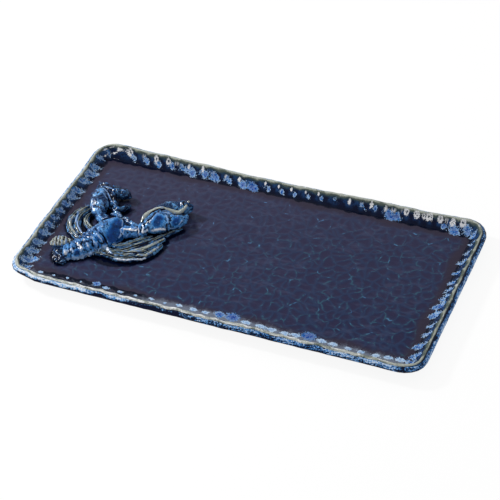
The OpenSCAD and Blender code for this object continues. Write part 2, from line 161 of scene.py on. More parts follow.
# Painted highlights, white marks where the back's notches mirror light: place along the rim,
# inset, half length along the rim, half length down the slope (mm), and 1 where the middle is open.
PAINTED_GLINTS = [
    (998, 6.7, 2.0, .4, 0), (1007, 6.3, 1.0, .3, 0), (995, 9.8, 1.6, .5, 0),
    (1008, 9.6, 1.6, .5, 0), (4.5, 7.2, .8, .6, 0), (9, 7.5, .8, .7, 0),
    (13.8, 7.4, 1.9, 1.9, 1), (26, 7.7, .9, 1.5, 0), (39.3, 7.8, 1.5, 1.7, 1),
    (51, 7.8, 1.5, 1.7, 1), (60.5, 7.7, .8, 1.2, 0), (70.5, 8, .9, 1.4, 0),
    (83.5, 7.9, 1.0, 1.5, 0), (93, 8.6, .9, 1.3, 0), (105, 8.7, .9, 1.3, 0),
    (118, 8.7, .9, 1.3, 0), (128.5, 9.2, .7, 1.0, 0), (141.5, 7.7, .7, 1.0, 0),
    (154, 7.8, .7, 1.0, 0), (165.5, 7.9, .7, 1.0, 0), (178.5, 7.9, .7, 1.0, 0),
    (190, 7.1, .7, 1.0, 0), (203, 6.6, .7, 1.0, 0), (218, 8.2, 1.0, 1.6, 0),
    (227, 7.6, .9, 1.5, 0), (237, 7.4, 1.0, 1.6, 0), (250, 7.8, 1.1, 1.7, 0),
    (258, 7.7, 1.0, 1.6, 0), (267.5, 7.1, 1.8, 1.7, 1), (277, 7.3, 1.6, 1.7, 1),
    (286.5, 7.2, 1.8, 1.8, 1), (296.5, 7.3, 1.8, 1.7, 1), (307, 7.8, 1.9, 1.8, 1),
    (316, 7.1, 1.6, 1.7, 1),
]

# How far the hand-made rim stands above its even height, by place along the rim (mm).
RIM_LIFT = [
    (0, 3.2), (8, 3.6), (22, 2.4), (36, 2.3), (50, 2.0), (64, 1.2), (92, .9), (107, .1), (121, -.3),
    (135, -1.0), (150, -.8), (191, -.5), (205, .2), (220, 1.3), (247, 1.1), (276, .8), (290, 1.4),
    (304, 2.0), (320, 2.2), (332, 1.6), (345, .4), (360, 0), (960, 0), (988, .6), (1000, 2.0),
    (1009.5, 3.2),
]

# How far the rim is drawn in at the rounder front left corner, by place along the rim (mm).
RIM_DRAW = [
    (0, 0), (806, 0), (812, .5), (818, 1.9), (824, 3.6), (829, 4.3), (834, 3.6), (838, 2.4),
    (842, 1.2), (847, .3), (852, 0), (1009.5, 0),
]

# Glaze on the floor along the rim's foot: place along the rim (mm), pale band, and dark band, a
# painted shade in the crease that is partly thick glaze.
FOOT_GLAZE = [
    (0, 0, .9), (330, 0, .9), (345, .1, .4), (480, .15, .2), (495, .5, 0), (505, .8, 0),
    (600, .8, 0), (640, 1, 0), (700, 1, 0), (715, .8, .5), (728, .4, 1.1), (800, .4, 1.1),
    (815, .5, .6), (835, .6, .1), (850, .3, .2), (870, .05, .5), (985, 0, .7), (1009.5, 0, .9),
]

# Share of white in the glaze that breaks over the crest, by place along the rim (mm).
CREST_WHITE = [
    (0, 0), (490, .05), (520, .3), (600, .45), (690, .5), (720, .65), (760, .65), (790, .5),
    (825, .4), (850, 0), (1009.5, 0),
]

# Glaze on the outer lip: place along the rim (mm), paleness and blueness.
LIP_GLAZE = [
    (0, .45, .5), (110, .55, .4), (220, .4, .7), (320, .35, .6), (345, .25, .8), (385, .40, .95),
    (405, .44, .95), (430, .36, .9), (470, .38, .85), (497, .45, .7), (520, .68, .4),
    (556, .66, .4), (561, .58, .8), (615, .58, .8), (622, .46, .4), (676, .44, .35),
    (688, .08, .2), (727, .06, .2), (732, .95, .15), (744, .65, .6), (766, .65, .6),
    (771, 1.15, .1), (816, 1.15, .1), (836, .9, .2), (860, .5, .5), (930, .45, .5),
    (1009.5, .45, .5),
]

# Share of blue in the glaze of the inner slope, by place along the rim (mm).
SLOPE_GLAZE = [
    (0, .44), (345, .44), (480, .42), (505, .40), (825, .42), (850, .75), (985, .70), (1009.5, .44),
]

# Gloss of the glaze on the platter and on the lobster, depth of its fine relief, and the noises
# that bend the hammered cells, by their scale and reach (m).
PLATTER_GLOSS, LOBSTER_GLOSS = 0.06, 0.08
RELIEF_DEPTH = 0.0004
CELL_BENDS = ((50.0, 0.011), (150.0, 0.006))

# How finely the floor and the rim are divided: squares along and across, and steps round the rim.
FLOOR_GRID = (352, 164)
RIM_STEPS = 1640

# The stage in metres: sheet, lamps and camera. The camera's lens and sensor are in mm, and its
# turn, rise and roll in degrees.
SHEET_SIZE, SHEET_DROP = 8.0, 0.0004
LAMP_PLACE = (-0.95, 0.10, 0.80)
PANEL_PLACE = (-1.00, -0.05, 0.72)
CAMERA_LENS, CAMERA_SENSOR = 116.23, 36.0
CAMERA_ANGLES = (27.225, 41.444, -5.847)
CAMERA_TARGET, CAMERA_DISTANCE = (-0.004328, 0.014445, -0.003), 1.32262


def length_prop(name, text, default):
    """A length in metres that a user may change."""
    return bpy.props.FloatProperty(name=name, description=text, default=default, unit="LENGTH")


def number_prop(name, text, default, **kind):
    """A plain number that a user may change, with a unit or subtype where one fits."""
    return bpy.props.FloatProperty(name=name, description=text, default=default, **kind)


def colour_prop(name, text, default):
    """A colour that a user may change, as linear red, green and blue."""
    return bpy.props.FloatVectorProperty(name=name, description=text, default=default,
                                         subtype="COLOR")


class PlatterSizes(bpy.types.PropertyGroup):
    """Sizes of the slab and the rim."""
    length: length_prop("Length", "Outer length of the platter", CAD_HIGH.x - CAD_LOW.x)
    width: length_prop("Width", "Outer width of the platter", CAD_HIGH.y - CAD_LOW.y)
    corner: length_prop("Corner radius", "Radius of the outer corners", 0.018)
    floor_height: length_prop("Floor height", "Height of the well's floor", SLAB_HIGH.z)
    floor_edge: length_prop("Floor edge", "Inset of the slab's edge from the rim's lip",
                            CAD_HIGH.x - SLAB_HIGH.x)
    crest_inset: length_prop("Crest inset", "Inset of the rim's crest from its lip", 0.0044)
    notch_depth: length_prop("Notch depth", "Depth of the notches pressed into the rim", 0.0019)
    notch_slant: number_prop("Notch slant", "Sideways run of a notch for each unit down the slope",
                             0.9)
    cell_count: number_prop("Cells", "Hammered cells of the floor for each metre", 122.0)
    cell_depth: length_prop("Cell depth", "Depth of the hammered cells", 0.00014)


class LobsterSizes(bpy.types.PropertyGroup):
    """Place and sizes of the lobster."""
    place: bpy.props.FloatVectorProperty(
        name="Place", description="Middle of the shell's back edge on the floor",
        subtype="TRANSLATION", unit="LENGTH", default=(-0.121, -0.025, SLAB_HIGH.z))
    turn: number_prop("Turn", "Heading of the lobster on the floor", math.radians(64),
                      subtype="ANGLE")
    leg_width: length_prop("Leg width", "Thickness of the walking legs", 0.0046)
    feeler_width: length_prop("Feeler width", "Thickness of the feelers", 0.0044)
    lumps: length_prop("Lumps", "Height of the hand-worked unevenness", 0.00035)


class GlazeColours(bpy.types.PropertyGroup):
    """Colours of the glaze where it lies thick, thin or pooled."""
    navy: colour_prop("Navy", "Thick glaze in the hollows", (0.003, 0.006, 0.028))
    floor_front: colour_prop("Floor front", "Glaze on the floor's front right part",
                             (0.018, 0.024, 0.069))
    floor_back: colour_prop("Floor back", "Glaze on the floor's back left part",
                            (0.043, 0.044, 0.087))
    floor_edge: colour_prop("Floor edge", "Browner glaze along the edge of the floor",
                            (0.035, 0.029, 0.052))
    plum: colour_prop("Plum", "Glaze in the middle of a hammered cell", (0.029, 0.022, 0.059))
    glow: colour_prop("Cell edge", "Bluer glaze towards the edge of a cell",
                      (0.025, 0.049, 0.117))
    teal: colour_prop("Teal", "Thin glaze on the ridges between the floor's cells",
                      (0.042, 0.128, 0.178))
    wisp: colour_prop("Wisp", "Cell lines on the hazy part of the floor", (0.070, 0.080, 0.150))
    # Foot also serves as painted shade along the rim's foot, round the lobster and in its hollows
    foot: colour_prop("Foot", "Thickest glaze along the rim's foot", (0.001, 0.003, 0.015))
    foot_pale: colour_prop("Foot band", "Grey blue band along the front of the floor",
                           (0.165, 0.195, 0.265))
    slope: colour_prop("Slope", "Greyer blue of the rim's inner slope", (0.014, 0.055, 0.170))
    shore: colour_prop("Teal grey", "Thinner glaze below the crest", (0.034, 0.072, 0.100))
    cobalt: colour_prop("Cobalt", "Deep blue in the middle of a pool", (0.002, 0.045, 0.290))
    blue: colour_prop("Blue", "Mid blue of a pool", (0.018, 0.170, 0.520))
    light_blue: colour_prop("Light blue", "Pale blue of thin pools", (0.140, 0.390, 0.780))
    lavender: colour_prop("Lavender white", "Crystals along the edge of a pool",
                          (0.520, 0.690, 0.900))
    # White is also the colour of the painted highlights on the rim and the lobster
    white: colour_prop("White", "Glaze run thinnest over a ridge", (0.920, 0.930, 0.960))
    cream: colour_prop("Cream", "Glaze that breaks over the edges", (0.420, 0.450, 0.400))
    olive: colour_prop("Olive", "Greenish glaze beside the broken edges", (0.105, 0.130, 0.112))
    shell: colour_prop("Lobster blue", "Glaze of the lobster's back and claws",
                       (0.046, 0.190, 0.520))
    wrist: colour_prop("Lobster lavender", "Paler glaze of the wrist, tail fan and feelers",
                       (0.105, 0.175, 0.320))
    legs: colour_prop("Lobster grey", "Glaze between the strands of the legs",
                      (0.060, 0.112, 0.175))
    deep: colour_prop("Deep blue", "Thicker glaze on the lobster", (0.003, 0.014, 0.062))
    # Ridge blue also edges the painted highlights on the lobster
    sheen: colour_prop("Ridge blue", "Thin glaze over the lobster's ridges",
                       (0.300, 0.440, 0.690))
    clay: colour_prop("Clay", "Bare stoneware of the resting face", (0.330, 0.260, 0.190))


class StageSettings(bpy.types.PropertyGroup):
    """Lamps of the stage that the platter stands on."""
    soft_light: number_prop("Soft light", "Light from all round", 0.55)
    lamp_power: number_prop("Lamp power", "Power of the main lamp", 9.0, unit="POWER")
    lamp_size: length_prop("Lamp size", "Width of the main lamp", 0.17)
    panel_power: number_prop("Panel power", "Power of the panel that only the lobster mirrors",
                             70.0, unit="POWER")
    panel_size: length_prop("Panel size", "Width of the mirrored panel", 0.5)


# Shapes

def wave(along, sizes, seed):
    """A smooth uneven line between about -1 and 1: sines of the given sizes in mm."""
    rng = np.random.default_rng(seed)
    total = np.zeros_like(along)
    for size in sizes:
        total += np.sin(along * (2 * math.pi / size) + rng.uniform(0, 2 * math.pi))
    return total / math.sqrt(len(sizes))


def streaks(along, row, sizes, seed):
    """Like a wave along the rim, but another line for each row across it."""
    turn = np.random.default_rng(seed).uniform(0, 2 * math.pi, (row.max() + 1, len(sizes)))
    total = sum(np.sin(along * (2 * math.pi / size) + turn[row, k]) for k, size in enumerate(sizes))
    return total / math.sqrt(len(sizes))


def lumps(points, size, seed):
    """Smooth unevenness over points in space, between about -1 and 1."""
    rng = np.random.default_rng(seed)
    total = np.zeros(len(points))
    for _ in range(9):
        way = rng.normal(size=3)
        way *= 2 * math.pi / (size * rng.uniform(0.7, 1.5) * np.linalg.norm(way))
        total += np.sin(points @ way + rng.uniform(0, 2 * math.pi))
    return total / 3


def step(low, high, value):
    """Smooth step from 0 at low to 1 at high."""
    share = np.clip((value - low) / (high - low), 0, 1)
    return share * share * (3 - 2 * share)


def bump(middle, half, value):
    """A soft bump of height 1 at the middle that fades out at the half width."""
    return np.exp(-((value - middle) / (half * 0.6)) ** 2)


def stretch(along, places):
    """1 on a stretch of the rim, which fades in and out between the given places."""
    return step(places[0], places[1], along) * (1 - step(places[2], places[3], along))


def along_rim(table, along, column=1):
    """Values in a column of a table at places along the rim."""
    rows = np.array(table)
    return np.interp(along, rows[:, 0], rows[:, column])


def curve(rows, share):
    """Smooth line through rows whose first three columns are places; share runs from 0 to 1."""
    rows = np.asarray(rows, float)
    gaps = np.linalg.norm(np.diff(rows[:, :3], axis=0), axis=1)
    knots = np.concatenate([[0], np.cumsum(gaps)]) / gaps.sum()
    slopes = np.gradient(rows, knots, axis=0)
    share = np.clip(share, 0, 1)
    i = np.clip(np.searchsorted(knots, share, side="right") - 1, 0, len(gaps) - 1)
    h = (knots[i + 1] - knots[i])[:, None]
    f = (share - knots[i])[:, None] / h
    return ((1 + 2 * f) * (1 - f) ** 2 * rows[i] + f * (1 - f) ** 2 * h * slopes[i]
            + f * f * (3 - 2 * f) * rows[i + 1] + f * f * (f - 1) * h * slopes[i + 1])


def read_rows(items, name):
    """Vectors that a mesh stores under a name, as rows."""
    rows = np.empty(len(items) * 3)
    items.foreach_get(name, rows)
    return rows.reshape(-1, 3)


def read_points(piece):
    """Vertex places of a piece as rows, in metres."""
    return read_rows(piece.data.vertices, "co")


def read_normals(piece):
    """Vertex normals of a piece as rows."""
    return read_rows(piece.data.vertex_normals, "vector")


def write_points(piece, points):
    """Puts a piece's vertices at new places, in metres."""
    piece.data.vertices.foreach_set("co", np.ascontiguousarray(points, float).ravel())
    piece.data.update()


def write_mask(piece, name, values):
    """Stores one number for each vertex under a name that the glaze reads."""
    mask = piece.data.attributes.get(name)
    if mask is None:
        mask = piece.data.attributes.new(name, "FLOAT", "POINT")
    mask.data.foreach_set("value", np.ascontiguousarray(values, np.float32))


def start_piece(name, add, **sizes):
    """Adds a primitive with nothing else selected, and names it."""
    bpy.ops.object.select_all(action="DESELECT")
    add(**sizes)
    piece = bpy.context.object
    piece.name = name
    piece.data.name = name
    return piece


def only(piece):
    """Selects one piece alone and makes it active."""
    bpy.ops.object.select_all(action="DESELECT")
    piece.select_set(True)
    bpy.context.view_layer.objects.active = piece


def face_outwards(piece):
    """Turns all faces of a closed piece outwards and shades it smooth."""
    only(piece)
    bpy.ops.object.mode_set(mode="EDIT")
    bpy.ops.mesh.select_all(action="SELECT")
    bpy.ops.mesh.normals_make_consistent(inside=False)
    bpy.ops.object.mode_set(mode="OBJECT")
    bpy.ops.object.shade_smooth()


def hand_over(piece, node, material):
    """Puts a finished piece in the place of a node of the frame."""
    piece.data.materials.clear()
    piece.data.materials.append(material)
    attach(piece, "root")
    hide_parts(node)


def convexity(piece):
    """How far each vertex stands out from its neighbours, in mm: above 0 on ridges."""
    mesh = piece.data
    points = read_points(piece)
    edges = np.empty(len(mesh.edges) * 2, int)
    mesh.edges.foreach_get("vertices", edges)
    edges = edges.reshape(-1, 2)
    normals = read_normals(piece)

    def around(values):
        """The mean of each vertex's neighbours."""
        total, count = np.zeros_like(values), np.zeros(len(values))
        np.add.at(total, edges[:, 0], values[edges[:, 1]])
        np.add.at(total, edges[:, 1], values[edges[:, 0]])
        np.add.at(count, edges.ravel(), 1)
        return total / np.maximum(count, 1).reshape((-1,) + (1,) * (values.ndim - 1))

    smooth = points
    for _ in range(8):
        smooth = around(smooth)
    stand = np.einsum("ij,ij->i", points - smooth, normals) / MM
    return around(stand)


def node_tree_of(names):
    """Search tree over the named nodes of the frame, for distances."""
    places, faces = [], []
    for name in names:
        mesh = frame["nodes"][name].data
        first = len(places)
        places += [v.co.copy() for v in mesh.vertices]
        faces += [[first + i for i in f.vertices] for f in mesh.polygons]
    return BVHTree.FromPolygons(places, faces)


def distances(tree, points, reach):
    """Distance in mm from each point to a search tree, or the reach where it is further."""
    found = np.full(len(points), reach)
    for i, point in enumerate(points):
        hit = tree.find_nearest(Vector(point), reach * MM)
        if hit[3] is not None:
            found[i] = hit[3] / MM
    return found


# The rim's line

class RimLine:
    """Maps between places along the rim with an inset, and places on the plan, in mm."""

    def __init__(self, sizes):
        self.corner = sizes.corner / MM
        self.half_x = sizes.length / MM / 2 - self.corner
        self.half_y = sizes.width / MM / 2 - self.corner
        self.crest = sizes.crest_inset / MM
        self.arc = (self.corner - self.crest) * math.pi / 2
        runs = [2 * self.half_x, self.arc, 2 * self.half_y, self.arc] * 2
        self.starts = np.concatenate([[0], np.cumsum(runs)])
        self.round = self.starts[-1]

    def off(self, along, place):
        """How far each place along the rim is from a given one, the shorter way round."""
        return np.mod(along - place + self.round / 2, self.round) - self.round / 2

    def place(self, along, inset):
        """Plan places for arrays of places along the rim and insets."""
        along = np.mod(along, self.round)
        run = np.clip(np.searchsorted(self.starts, along, side="right") - 1, 0, 7)
        into = along - self.starts[run]
        turn = np.where(run % 2 == 1, into / self.arc * math.pi / 2, 0)
        heading = math.pi / 2 - (run // 2) * math.pi / 2 - turn
        corner_x = np.array([-1, 1, 1, 1, 1, -1, -1, -1])[run] * self.half_x
        corner_y = np.array([1, 1, 1, -1, -1, -1, -1, 1])[run] * self.half_y
        straight = np.where(run % 2 == 0, into, 0)
        way = heading - math.pi / 2
        out = self.corner - inset
        x = corner_x + straight * np.cos(way) + out * np.cos(heading)
        y = corner_y + straight * np.sin(way) + out * np.sin(heading)
        return x, y

    def find(self, x, y):
        """Place along the rim and inset for plan places inside the platter."""
        over_x, over_y = np.abs(x) - self.half_x, np.abs(y) - self.half_y
        in_corner = (over_x > 0) & (over_y > 0)
        inset = np.where(in_corner, self.corner - np.hypot(over_x, over_y),
                         self.corner - np.maximum(over_x, over_y))
        starts = self.starts
        along = np.where(
            over_y > over_x,
            np.where(y > 0, starts[0] + x + self.half_x, starts[4] + self.half_x - x),
            np.where(x > 0, starts[2] + self.half_y - y, starts[6] + y + self.half_y))
        angle = np.arctan2(over_x, over_y)
        angle = np.where(x * y > 0, angle, math.pi / 2 - angle)
        first = np.where(x > 0, np.where(y > 0, starts[1], starts[3]),
                         np.where(y > 0, starts[7], starts[5]))
        along = np.where(in_corner, first + angle / (math.pi / 2) * self.arc, along)
        return np.mod(along, self.round), inset


def pool_field(line, along, inset, slant):
    """Fullness of the pale pools, 1 in the middle and 0 at the edge of each, and their tone."""
    best, tone = np.full(along.shape, -1.0), np.zeros(along.shape)
    for place, deep, half, down, shade in POOLS:
        sink = inset - deep
        if FRONT_POOL_RUN[0] < place < FRONT_POOL_RUN[1]:
            sink = np.minimum(inset, RIM_FOOT) - min(deep, RIM_FOOT)
        off = line.off(along, place) - slant * 0.75 * sink
        fill = 1 - np.hypot(off / half, (inset - deep) / down)
        tone = np.where(fill > best, shade, tone)
        best = np.maximum(best, fill)
    return np.clip(best, -1, 1), tone


def notch_bite(line, along, inset, slant):
    """1 in the middle of a notch and 0 on the ridge between two notches."""
    middles = sorted([pool[0] - slant * (min(pool[1], RIM_FOOT) - NOTCH_INSET) for pool in POOLS]
                     + BARE_NOTCHES)
    middles = np.array([middles[-1] - line.round] + middles + [middles[0] + line.round])
    at = np.mod(along - slant * (inset - NOTCH_INSET), line.round)
    i = np.clip(np.searchsorted(middles, at, side="right") - 1, 0, len(middles) - 2)
    share = (at - middles[i]) / (middles[i + 1] - middles[i])
    return 1 - np.sin(np.clip(share, 0, 1) * math.pi) ** 3


# Materials

class Nodes:
    """Adds nodes to one tree; inputs are given as values or as sockets of other nodes."""

    def __init__(self, tree):
        self.tree = tree

    def add(self, kind, inputs=(), **settings):
        """Adds a node with its settings, and sets or links its inputs."""
        node = self.tree.nodes.new(kind)
        for name, value in settings.items():
            setattr(node, name, value)
        for key, value in dict(inputs).items():
            if isinstance(value, bpy.types.NodeSocket):
                self.tree.links.new(value, node.inputs[key])
            elif isinstance(node.inputs[key], bpy.types.NodeSocketColor):
                node.inputs[key].default_value = tuple(value)[:3] + (1.0,)
            else:
                node.inputs[key].default_value = value
        return node

    def math(self, operation, a, b=0.0, c=0.0, clamp=False):
        """Result of a math node on up to three values."""
        return self.add("ShaderNodeMath", {0: a, 1: b, 2: c}, operation=operation,
                        use_clamp=clamp).outputs[0]

    def times(self, a, b):
        """One value times another."""
        return self.math("MULTIPLY", a, b)

    def vector(self, operation, a, b):
        """Result of a vector math node on two vectors."""
        return self.add("ShaderNodeVectorMath", {0: a, 1: b}, operation=operation).outputs[0]

    def remap(self, value, low, high, start=0.0, end=1.0, smooth=True):
        """A value between low and high, as a value between start and end."""
        kind = "SMOOTHSTEP" if smooth else "LINEAR"
        return self.add("ShaderNodeMapRange", {0: value, 1: low, 2: high, 3: start, 4: end},
                        interpolation_type=kind, clamp=True).outputs[0]

    def mix(self, share, a, b):
        """A colour between two others, by the share of the second."""
        return self.add("ShaderNodeMix", {0: share, 6: a, 7: b}, data_type="RGBA").outputs[2]

    def coat(self, under, over, value, low, high, start=0.0, end=1.0):
        """Lays one colour over another: the start share at a low value, the end share at a high."""
        return self.mix(self.remap(value, low, high, start, end), under, over)

    def noise(self, vector, scale, detail=2.0, rough=0.5, warp=0.0):
        """Cloudy noise from 0 to 1."""
        return self.add("ShaderNodeTexNoise",
                        {"Vector": vector, "Scale": scale, "Detail": detail, "Roughness": rough,
                         "Distortion": warp}).outputs[0]

    def ragged(self, value, noise, amount):
        """A value made uneven by a noise that runs from 0 to 1."""
        return self.math("MULTIPLY_ADD", self.math("SUBTRACT", noise, 0.5), amount, value)

    def mask(self, name):
        """The number that a piece stores under a name."""
        return self.add("ShaderNodeAttribute", attribute_name=name).outputs["Fac"]

    def place(self):
        """Object coordinates."""
        return self.add("ShaderNodeTexCoord").outputs["Object"]


def shared_group(name, inputs, outputs, fill):
    """The shader node group of a name, which is filled at its first use."""
    tree = bpy.data.node_groups.get(name)
    if tree:
        return tree
    tree = bpy.data.node_groups.new(name, "ShaderNodeTree")
    for way, sockets in (("INPUT", inputs), ("OUTPUT", outputs)):
        for label, kind in sockets.items():
            tree.interface.new_socket(label, in_out=way, socket_type="NodeSocket" + kind)
    nodes = Nodes(tree)
    results = fill(nodes, nodes.add("NodeGroupInput").outputs)
    nodes.add("NodeGroupOutput", dict(zip(outputs, results)))
    return tree


def fill_mottle(nodes, given):
    """Uneven flow of a reactive glaze: fine specks, broad clouds and drawn-out crystals."""
    place, size = given["Place"], given["Size"]
    fine = nodes.noise(place, size, 3.0, 0.6, 0.4)
    broad = nodes.noise(place, nodes.times(size, 0.16), 2.0, 0.5, 0.6)
    cells = nodes.add("ShaderNodeTexVoronoi", {"Vector": place, "Scale": nodes.times(size, 0.8)},
                      feature="SMOOTH_F1").outputs["Distance"]
    crystals = nodes.remap(nodes.math("ADD", cells, nodes.times(fine, 0.5)), 0.35, 0.85)
    return fine, broad, crystals


def mottle_of(nodes, size):
    """Puts the mottle in a material and gives its outputs."""
    tree = shared_group("Glaze mottle", {"Place": "Vector", "Size": "Float"},
                        {"Fine": "Float", "Broad": "Float", "Crystals": "Float"}, fill_mottle)
    return nodes.add("ShaderNodeGroup", {"Place": nodes.place(), "Size": size},
                     node_tree=tree).outputs


def fill_pool(nodes, given):
    """Colour of a pool of pale glaze: white crystals at its edge, light blue, then deep blue."""
    level = nodes.ragged(given["Fullness"], given["Fine"], 2.2)
    cover = nodes.remap(level, -0.04, 0.10)
    depth = nodes.math("MULTIPLY_ADD", given["Tone"], 0.45, level)
    body = nodes.coat(given["Light"], given["Mid"], depth, 0.05, 0.40)
    body = nodes.coat(body, given["Deep"], depth, 0.50, 0.95)
    flecks = nodes.times(nodes.remap(given["Crystals"], 0.42, 0.62),
                         nodes.remap(depth, 0.05, 0.75, 1.0, 0.20))
    body = nodes.coat(body, given["White"], given["Tone"], -0.5, 0.1, 0.4, 0.0)
    return nodes.mix(flecks, body, given["White"]), cover


def add_pools(nodes, body, mottle, colours):
    """Lays the pale pools over a glaze."""
    tree = shared_group(
        "Glaze pool",
        {"Fullness": "Float", "Tone": "Float", "Fine": "Float", "Crystals": "Float",
         "White": "Color", "Light": "Color", "Mid": "Color", "Deep": "Color"},
        {"Colour": "Color", "Cover": "Float"}, fill_pool)
    pool = nodes.add("ShaderNodeGroup", {
        "Fullness": nodes.mask("pool"), "Tone": nodes.mask("pool_tone"), "Fine": mottle["Fine"],
        "Crystals": mottle["Crystals"], "White": colours.lavender, "Light": colours.light_blue,
        "Mid": colours.blue, "Deep": colours.cobalt}, node_tree=tree).outputs
    return nodes.mix(pool["Cover"], body, pool["Colour"])


def fill_break(nodes, given):
    """Glaze that runs thin over ridges, and darkens in hollows with thick glaze and painted shade.
    """
    worn = nodes.ragged(given["Ridge"], given["Fine"], 0.9)
    body = nodes.coat(given["Colour"], given["Side"], worn, 0.15, 0.50, 0.0, 0.70)
    body = nodes.coat(body, given["Thin"], worn, 0.50, 0.90, 0.0, 0.9)
    thick_and_shaded = nodes.ragged(given["Hollow"], given["Fine"], 0.5)
    return (nodes.coat(body, given["Thick"], thick_and_shaded, 0.25, 0.75),)


def add_breaks(nodes, body, mottle, colours):
    """Thins a glaze over the ridges and darkens it in the hollows, with thick glaze and painted
    shade.
    """
    tree = shared_group(
        "Glaze break",
        {"Colour": "Color", "Ridge": "Float", "Hollow": "Float", "Fine": "Float",
         "Thin": "Color", "Side": "Color", "Thick": "Color"}, {"Colour": "Color"}, fill_break)
    return nodes.add("ShaderNodeGroup", {
        "Colour": body, "Ridge": nodes.mask("ridge"), "Hollow": nodes.mask("hollow"),
        "Fine": mottle["Fine"], "Thin": colours.sheen, "Side": colours.shell,
        "Thick": colours.foot}, node_tree=tree).outputs["Colour"]


def floor_cells(nodes, place, count):
    """Distance from the edges of the hammered cells, the same in the floor's shape and glaze."""
    for scale, reach in CELL_BENDS:
        bend = nodes.add("ShaderNodeTexNoise", {"Vector": place, "Scale": scale, "Detail": 1.0,
                                                "Roughness": 0.5}).outputs[1]
        bend = nodes.vector("SUBTRACT", bend, (0.5, 0.5, 0.5))
        bend = nodes.add("ShaderNodeVectorMath", {0: bend, 3: reach}, operation="SCALE").outputs[0]
        place = nodes.vector("ADD", place, bend)
    return nodes.add("ShaderNodeTexVoronoi", {"Vector": place, "Scale": count},
                     feature="DISTANCE_TO_EDGE", voronoi_dimensions="2D").outputs["Distance"]


def new_glaze(name, gloss):
    """A material with a glossy glaze shader; gives it with its nodes and shader."""
    material = bpy.data.materials.new(name)
    material.use_nodes = True
    nodes = Nodes(material.node_tree)
    shader = material.node_tree.nodes["Principled BSDF"]
    shader.inputs["Specular IOR Level"].default_value = gloss
    return material, nodes, shader


def uneven(nodes, mask, mottle, fine, broad=0.0):
    """A mask made ragged by the mottle, by the given amounts."""
    value = nodes.mask(mask) if isinstance(mask, str) else mask
    value = nodes.ragged(value, mottle["Fine"], fine)
    if broad:
        value = nodes.ragged(value, mottle["Broad"], broad)
    return value


def finish_glaze(nodes, shader, colour, rough, height, strength):
    """Links a glaze's colour, roughness and relief to its shader."""
    relief = nodes.add("ShaderNodeBump", {"Strength": strength, "Distance": RELIEF_DEPTH,
                                          "Height": height})
    for socket, label in ((colour, "Base Color"), (rough, "Roughness"),
                          (relief.outputs[0], "Normal")):
        nodes.tree.links.new(socket, shader.inputs[label])


def floor_glaze(sizes, colours):
    """Dark floor glaze with broken teal cell lines, pools along the rim and a bare resting face."""
    material, nodes, shader = new_glaze("floor_glaze", PLATTER_GLOSS)
    place = nodes.place()
    mottle = mottle_of(nodes, 900.0)
    haze = nodes.ragged(nodes.mask("haze"), nodes.noise(place, 11.0, 3.0, 0.6, 0.3), 0.7)
    body = nodes.mix(nodes.remap(haze, 0.0, 1.0, smooth=False), colours.floor_front,
                     colours.floor_back)
    # The cells: plum in the middle, bluer towards the edge, with broken lines between them
    cell = floor_cells(nodes, place, sizes.cell_count)
    clear = nodes.mask("clear")
    body = nodes.coat(body, colours.plum, cell, 0.12, 0.40, 0.0, 0.5)
    glow = nodes.times(nodes.remap(cell, 0.0, 0.24, 0.6, 0.0), clear)
    body = nodes.mix(glow, body, colours.glow)
    broken = nodes.noise(place, 130.0, 3.0, 0.65, 0.5)
    line = nodes.times(nodes.remap(cell, 0.0, 0.12, 1.0, 0.0), nodes.remap(broken, 0.49, 0.64))
    thread = nodes.coat(colours.teal, colours.wisp, haze, 0.35, 0.75)
    body = nodes.mix(nodes.times(nodes.times(line, clear), 0.8), body, thread)
    tick = nodes.times(nodes.remap(cell, 0.0, 0.07, 1.0, 0.0),
                       nodes.remap(nodes.noise(place, 130.0, 2.0, 0.6), 0.63, 0.71))
    body = nodes.mix(nodes.times(tick, 0.45), body, colours.light_blue)
    # Drawn-out wisps and fine specks
    drawn = nodes.vector("MULTIPLY", place, (70.0, 190.0, 70.0))
    streak = nodes.noise(drawn, 1.0, 3.0, 0.6, 0.4)
    body = nodes.coat(body, colours.wisp, streak, 0.50, 0.72, 0.0, 0.35)
    body = nodes.coat(body, colours.glow, mottle["Fine"], 0.52, 0.75, 0.0, 0.22)
    # Bands along the rim's foot, with painted shade in its crease, and painted shade round the
    # lobster
    for mask, fine, broad, low, high, over in (
            ("edge", 0.3, 0.3, 0.0, 1.0, colours.floor_edge),
            ("foot_dark", 0.8, 0.6, 0.30, 0.75, colours.foot),
            ("foot_pale", 0.8, 0.4, 0.25, 0.80, colours.foot_pale),
            ("near", 0.6, 0.8, 0.25, 0.65, colours.foot)):
        body = nodes.coat(body, over, uneven(nodes, mask, mottle, fine, broad), low, high)
    body = add_pools(nodes, body, mottle, colours)
    under = nodes.mask("under")
    clay = nodes.coat(colours.clay, colours.olive, nodes.noise(place, 1400.0, 2.0, 0.7),
                      0.55, 0.75, 0.0, 0.5)
    body = nodes.mix(under, body, clay)
    rough = nodes.remap(mottle["Fine"], 0.3, 0.7, 0.07, 0.16)
    rough = nodes.math("MULTIPLY_ADD", under, 0.6, rough)
    height = nodes.math("MULTIPLY_ADD", mottle["Fine"], 0.25,
                        nodes.remap(cell, 0.0, 0.25, 0.6, 0.0))
    finish_glaze(nodes, shader, body, rough, height, 0.2)
    return material


def lip_colour(nodes, mottle, colours):
    """Glaze of the outer lip, from dark to pale with crystals in it."""
    pale = uneven(nodes, "lip_tone", mottle, 2.5, 1.1)
    blue = nodes.mask("lip_blue")
    lip = nodes.coat(colours.navy, nodes.mix(blue, colours.light_blue, colours.blue),
                     pale, 0.12, 0.42)
    lip = nodes.coat(lip, nodes.mix(blue, colours.lavender, colours.light_blue), pale, 0.55, 1.0)
    grains = nodes.times(nodes.remap(mottle["Crystals"], 0.45, 0.65),
                         nodes.remap(pale, 0.35, 0.80, 0.0, 0.8))
    return nodes.mix(grains, lip, nodes.mix(blue, colours.white, colours.lavender))


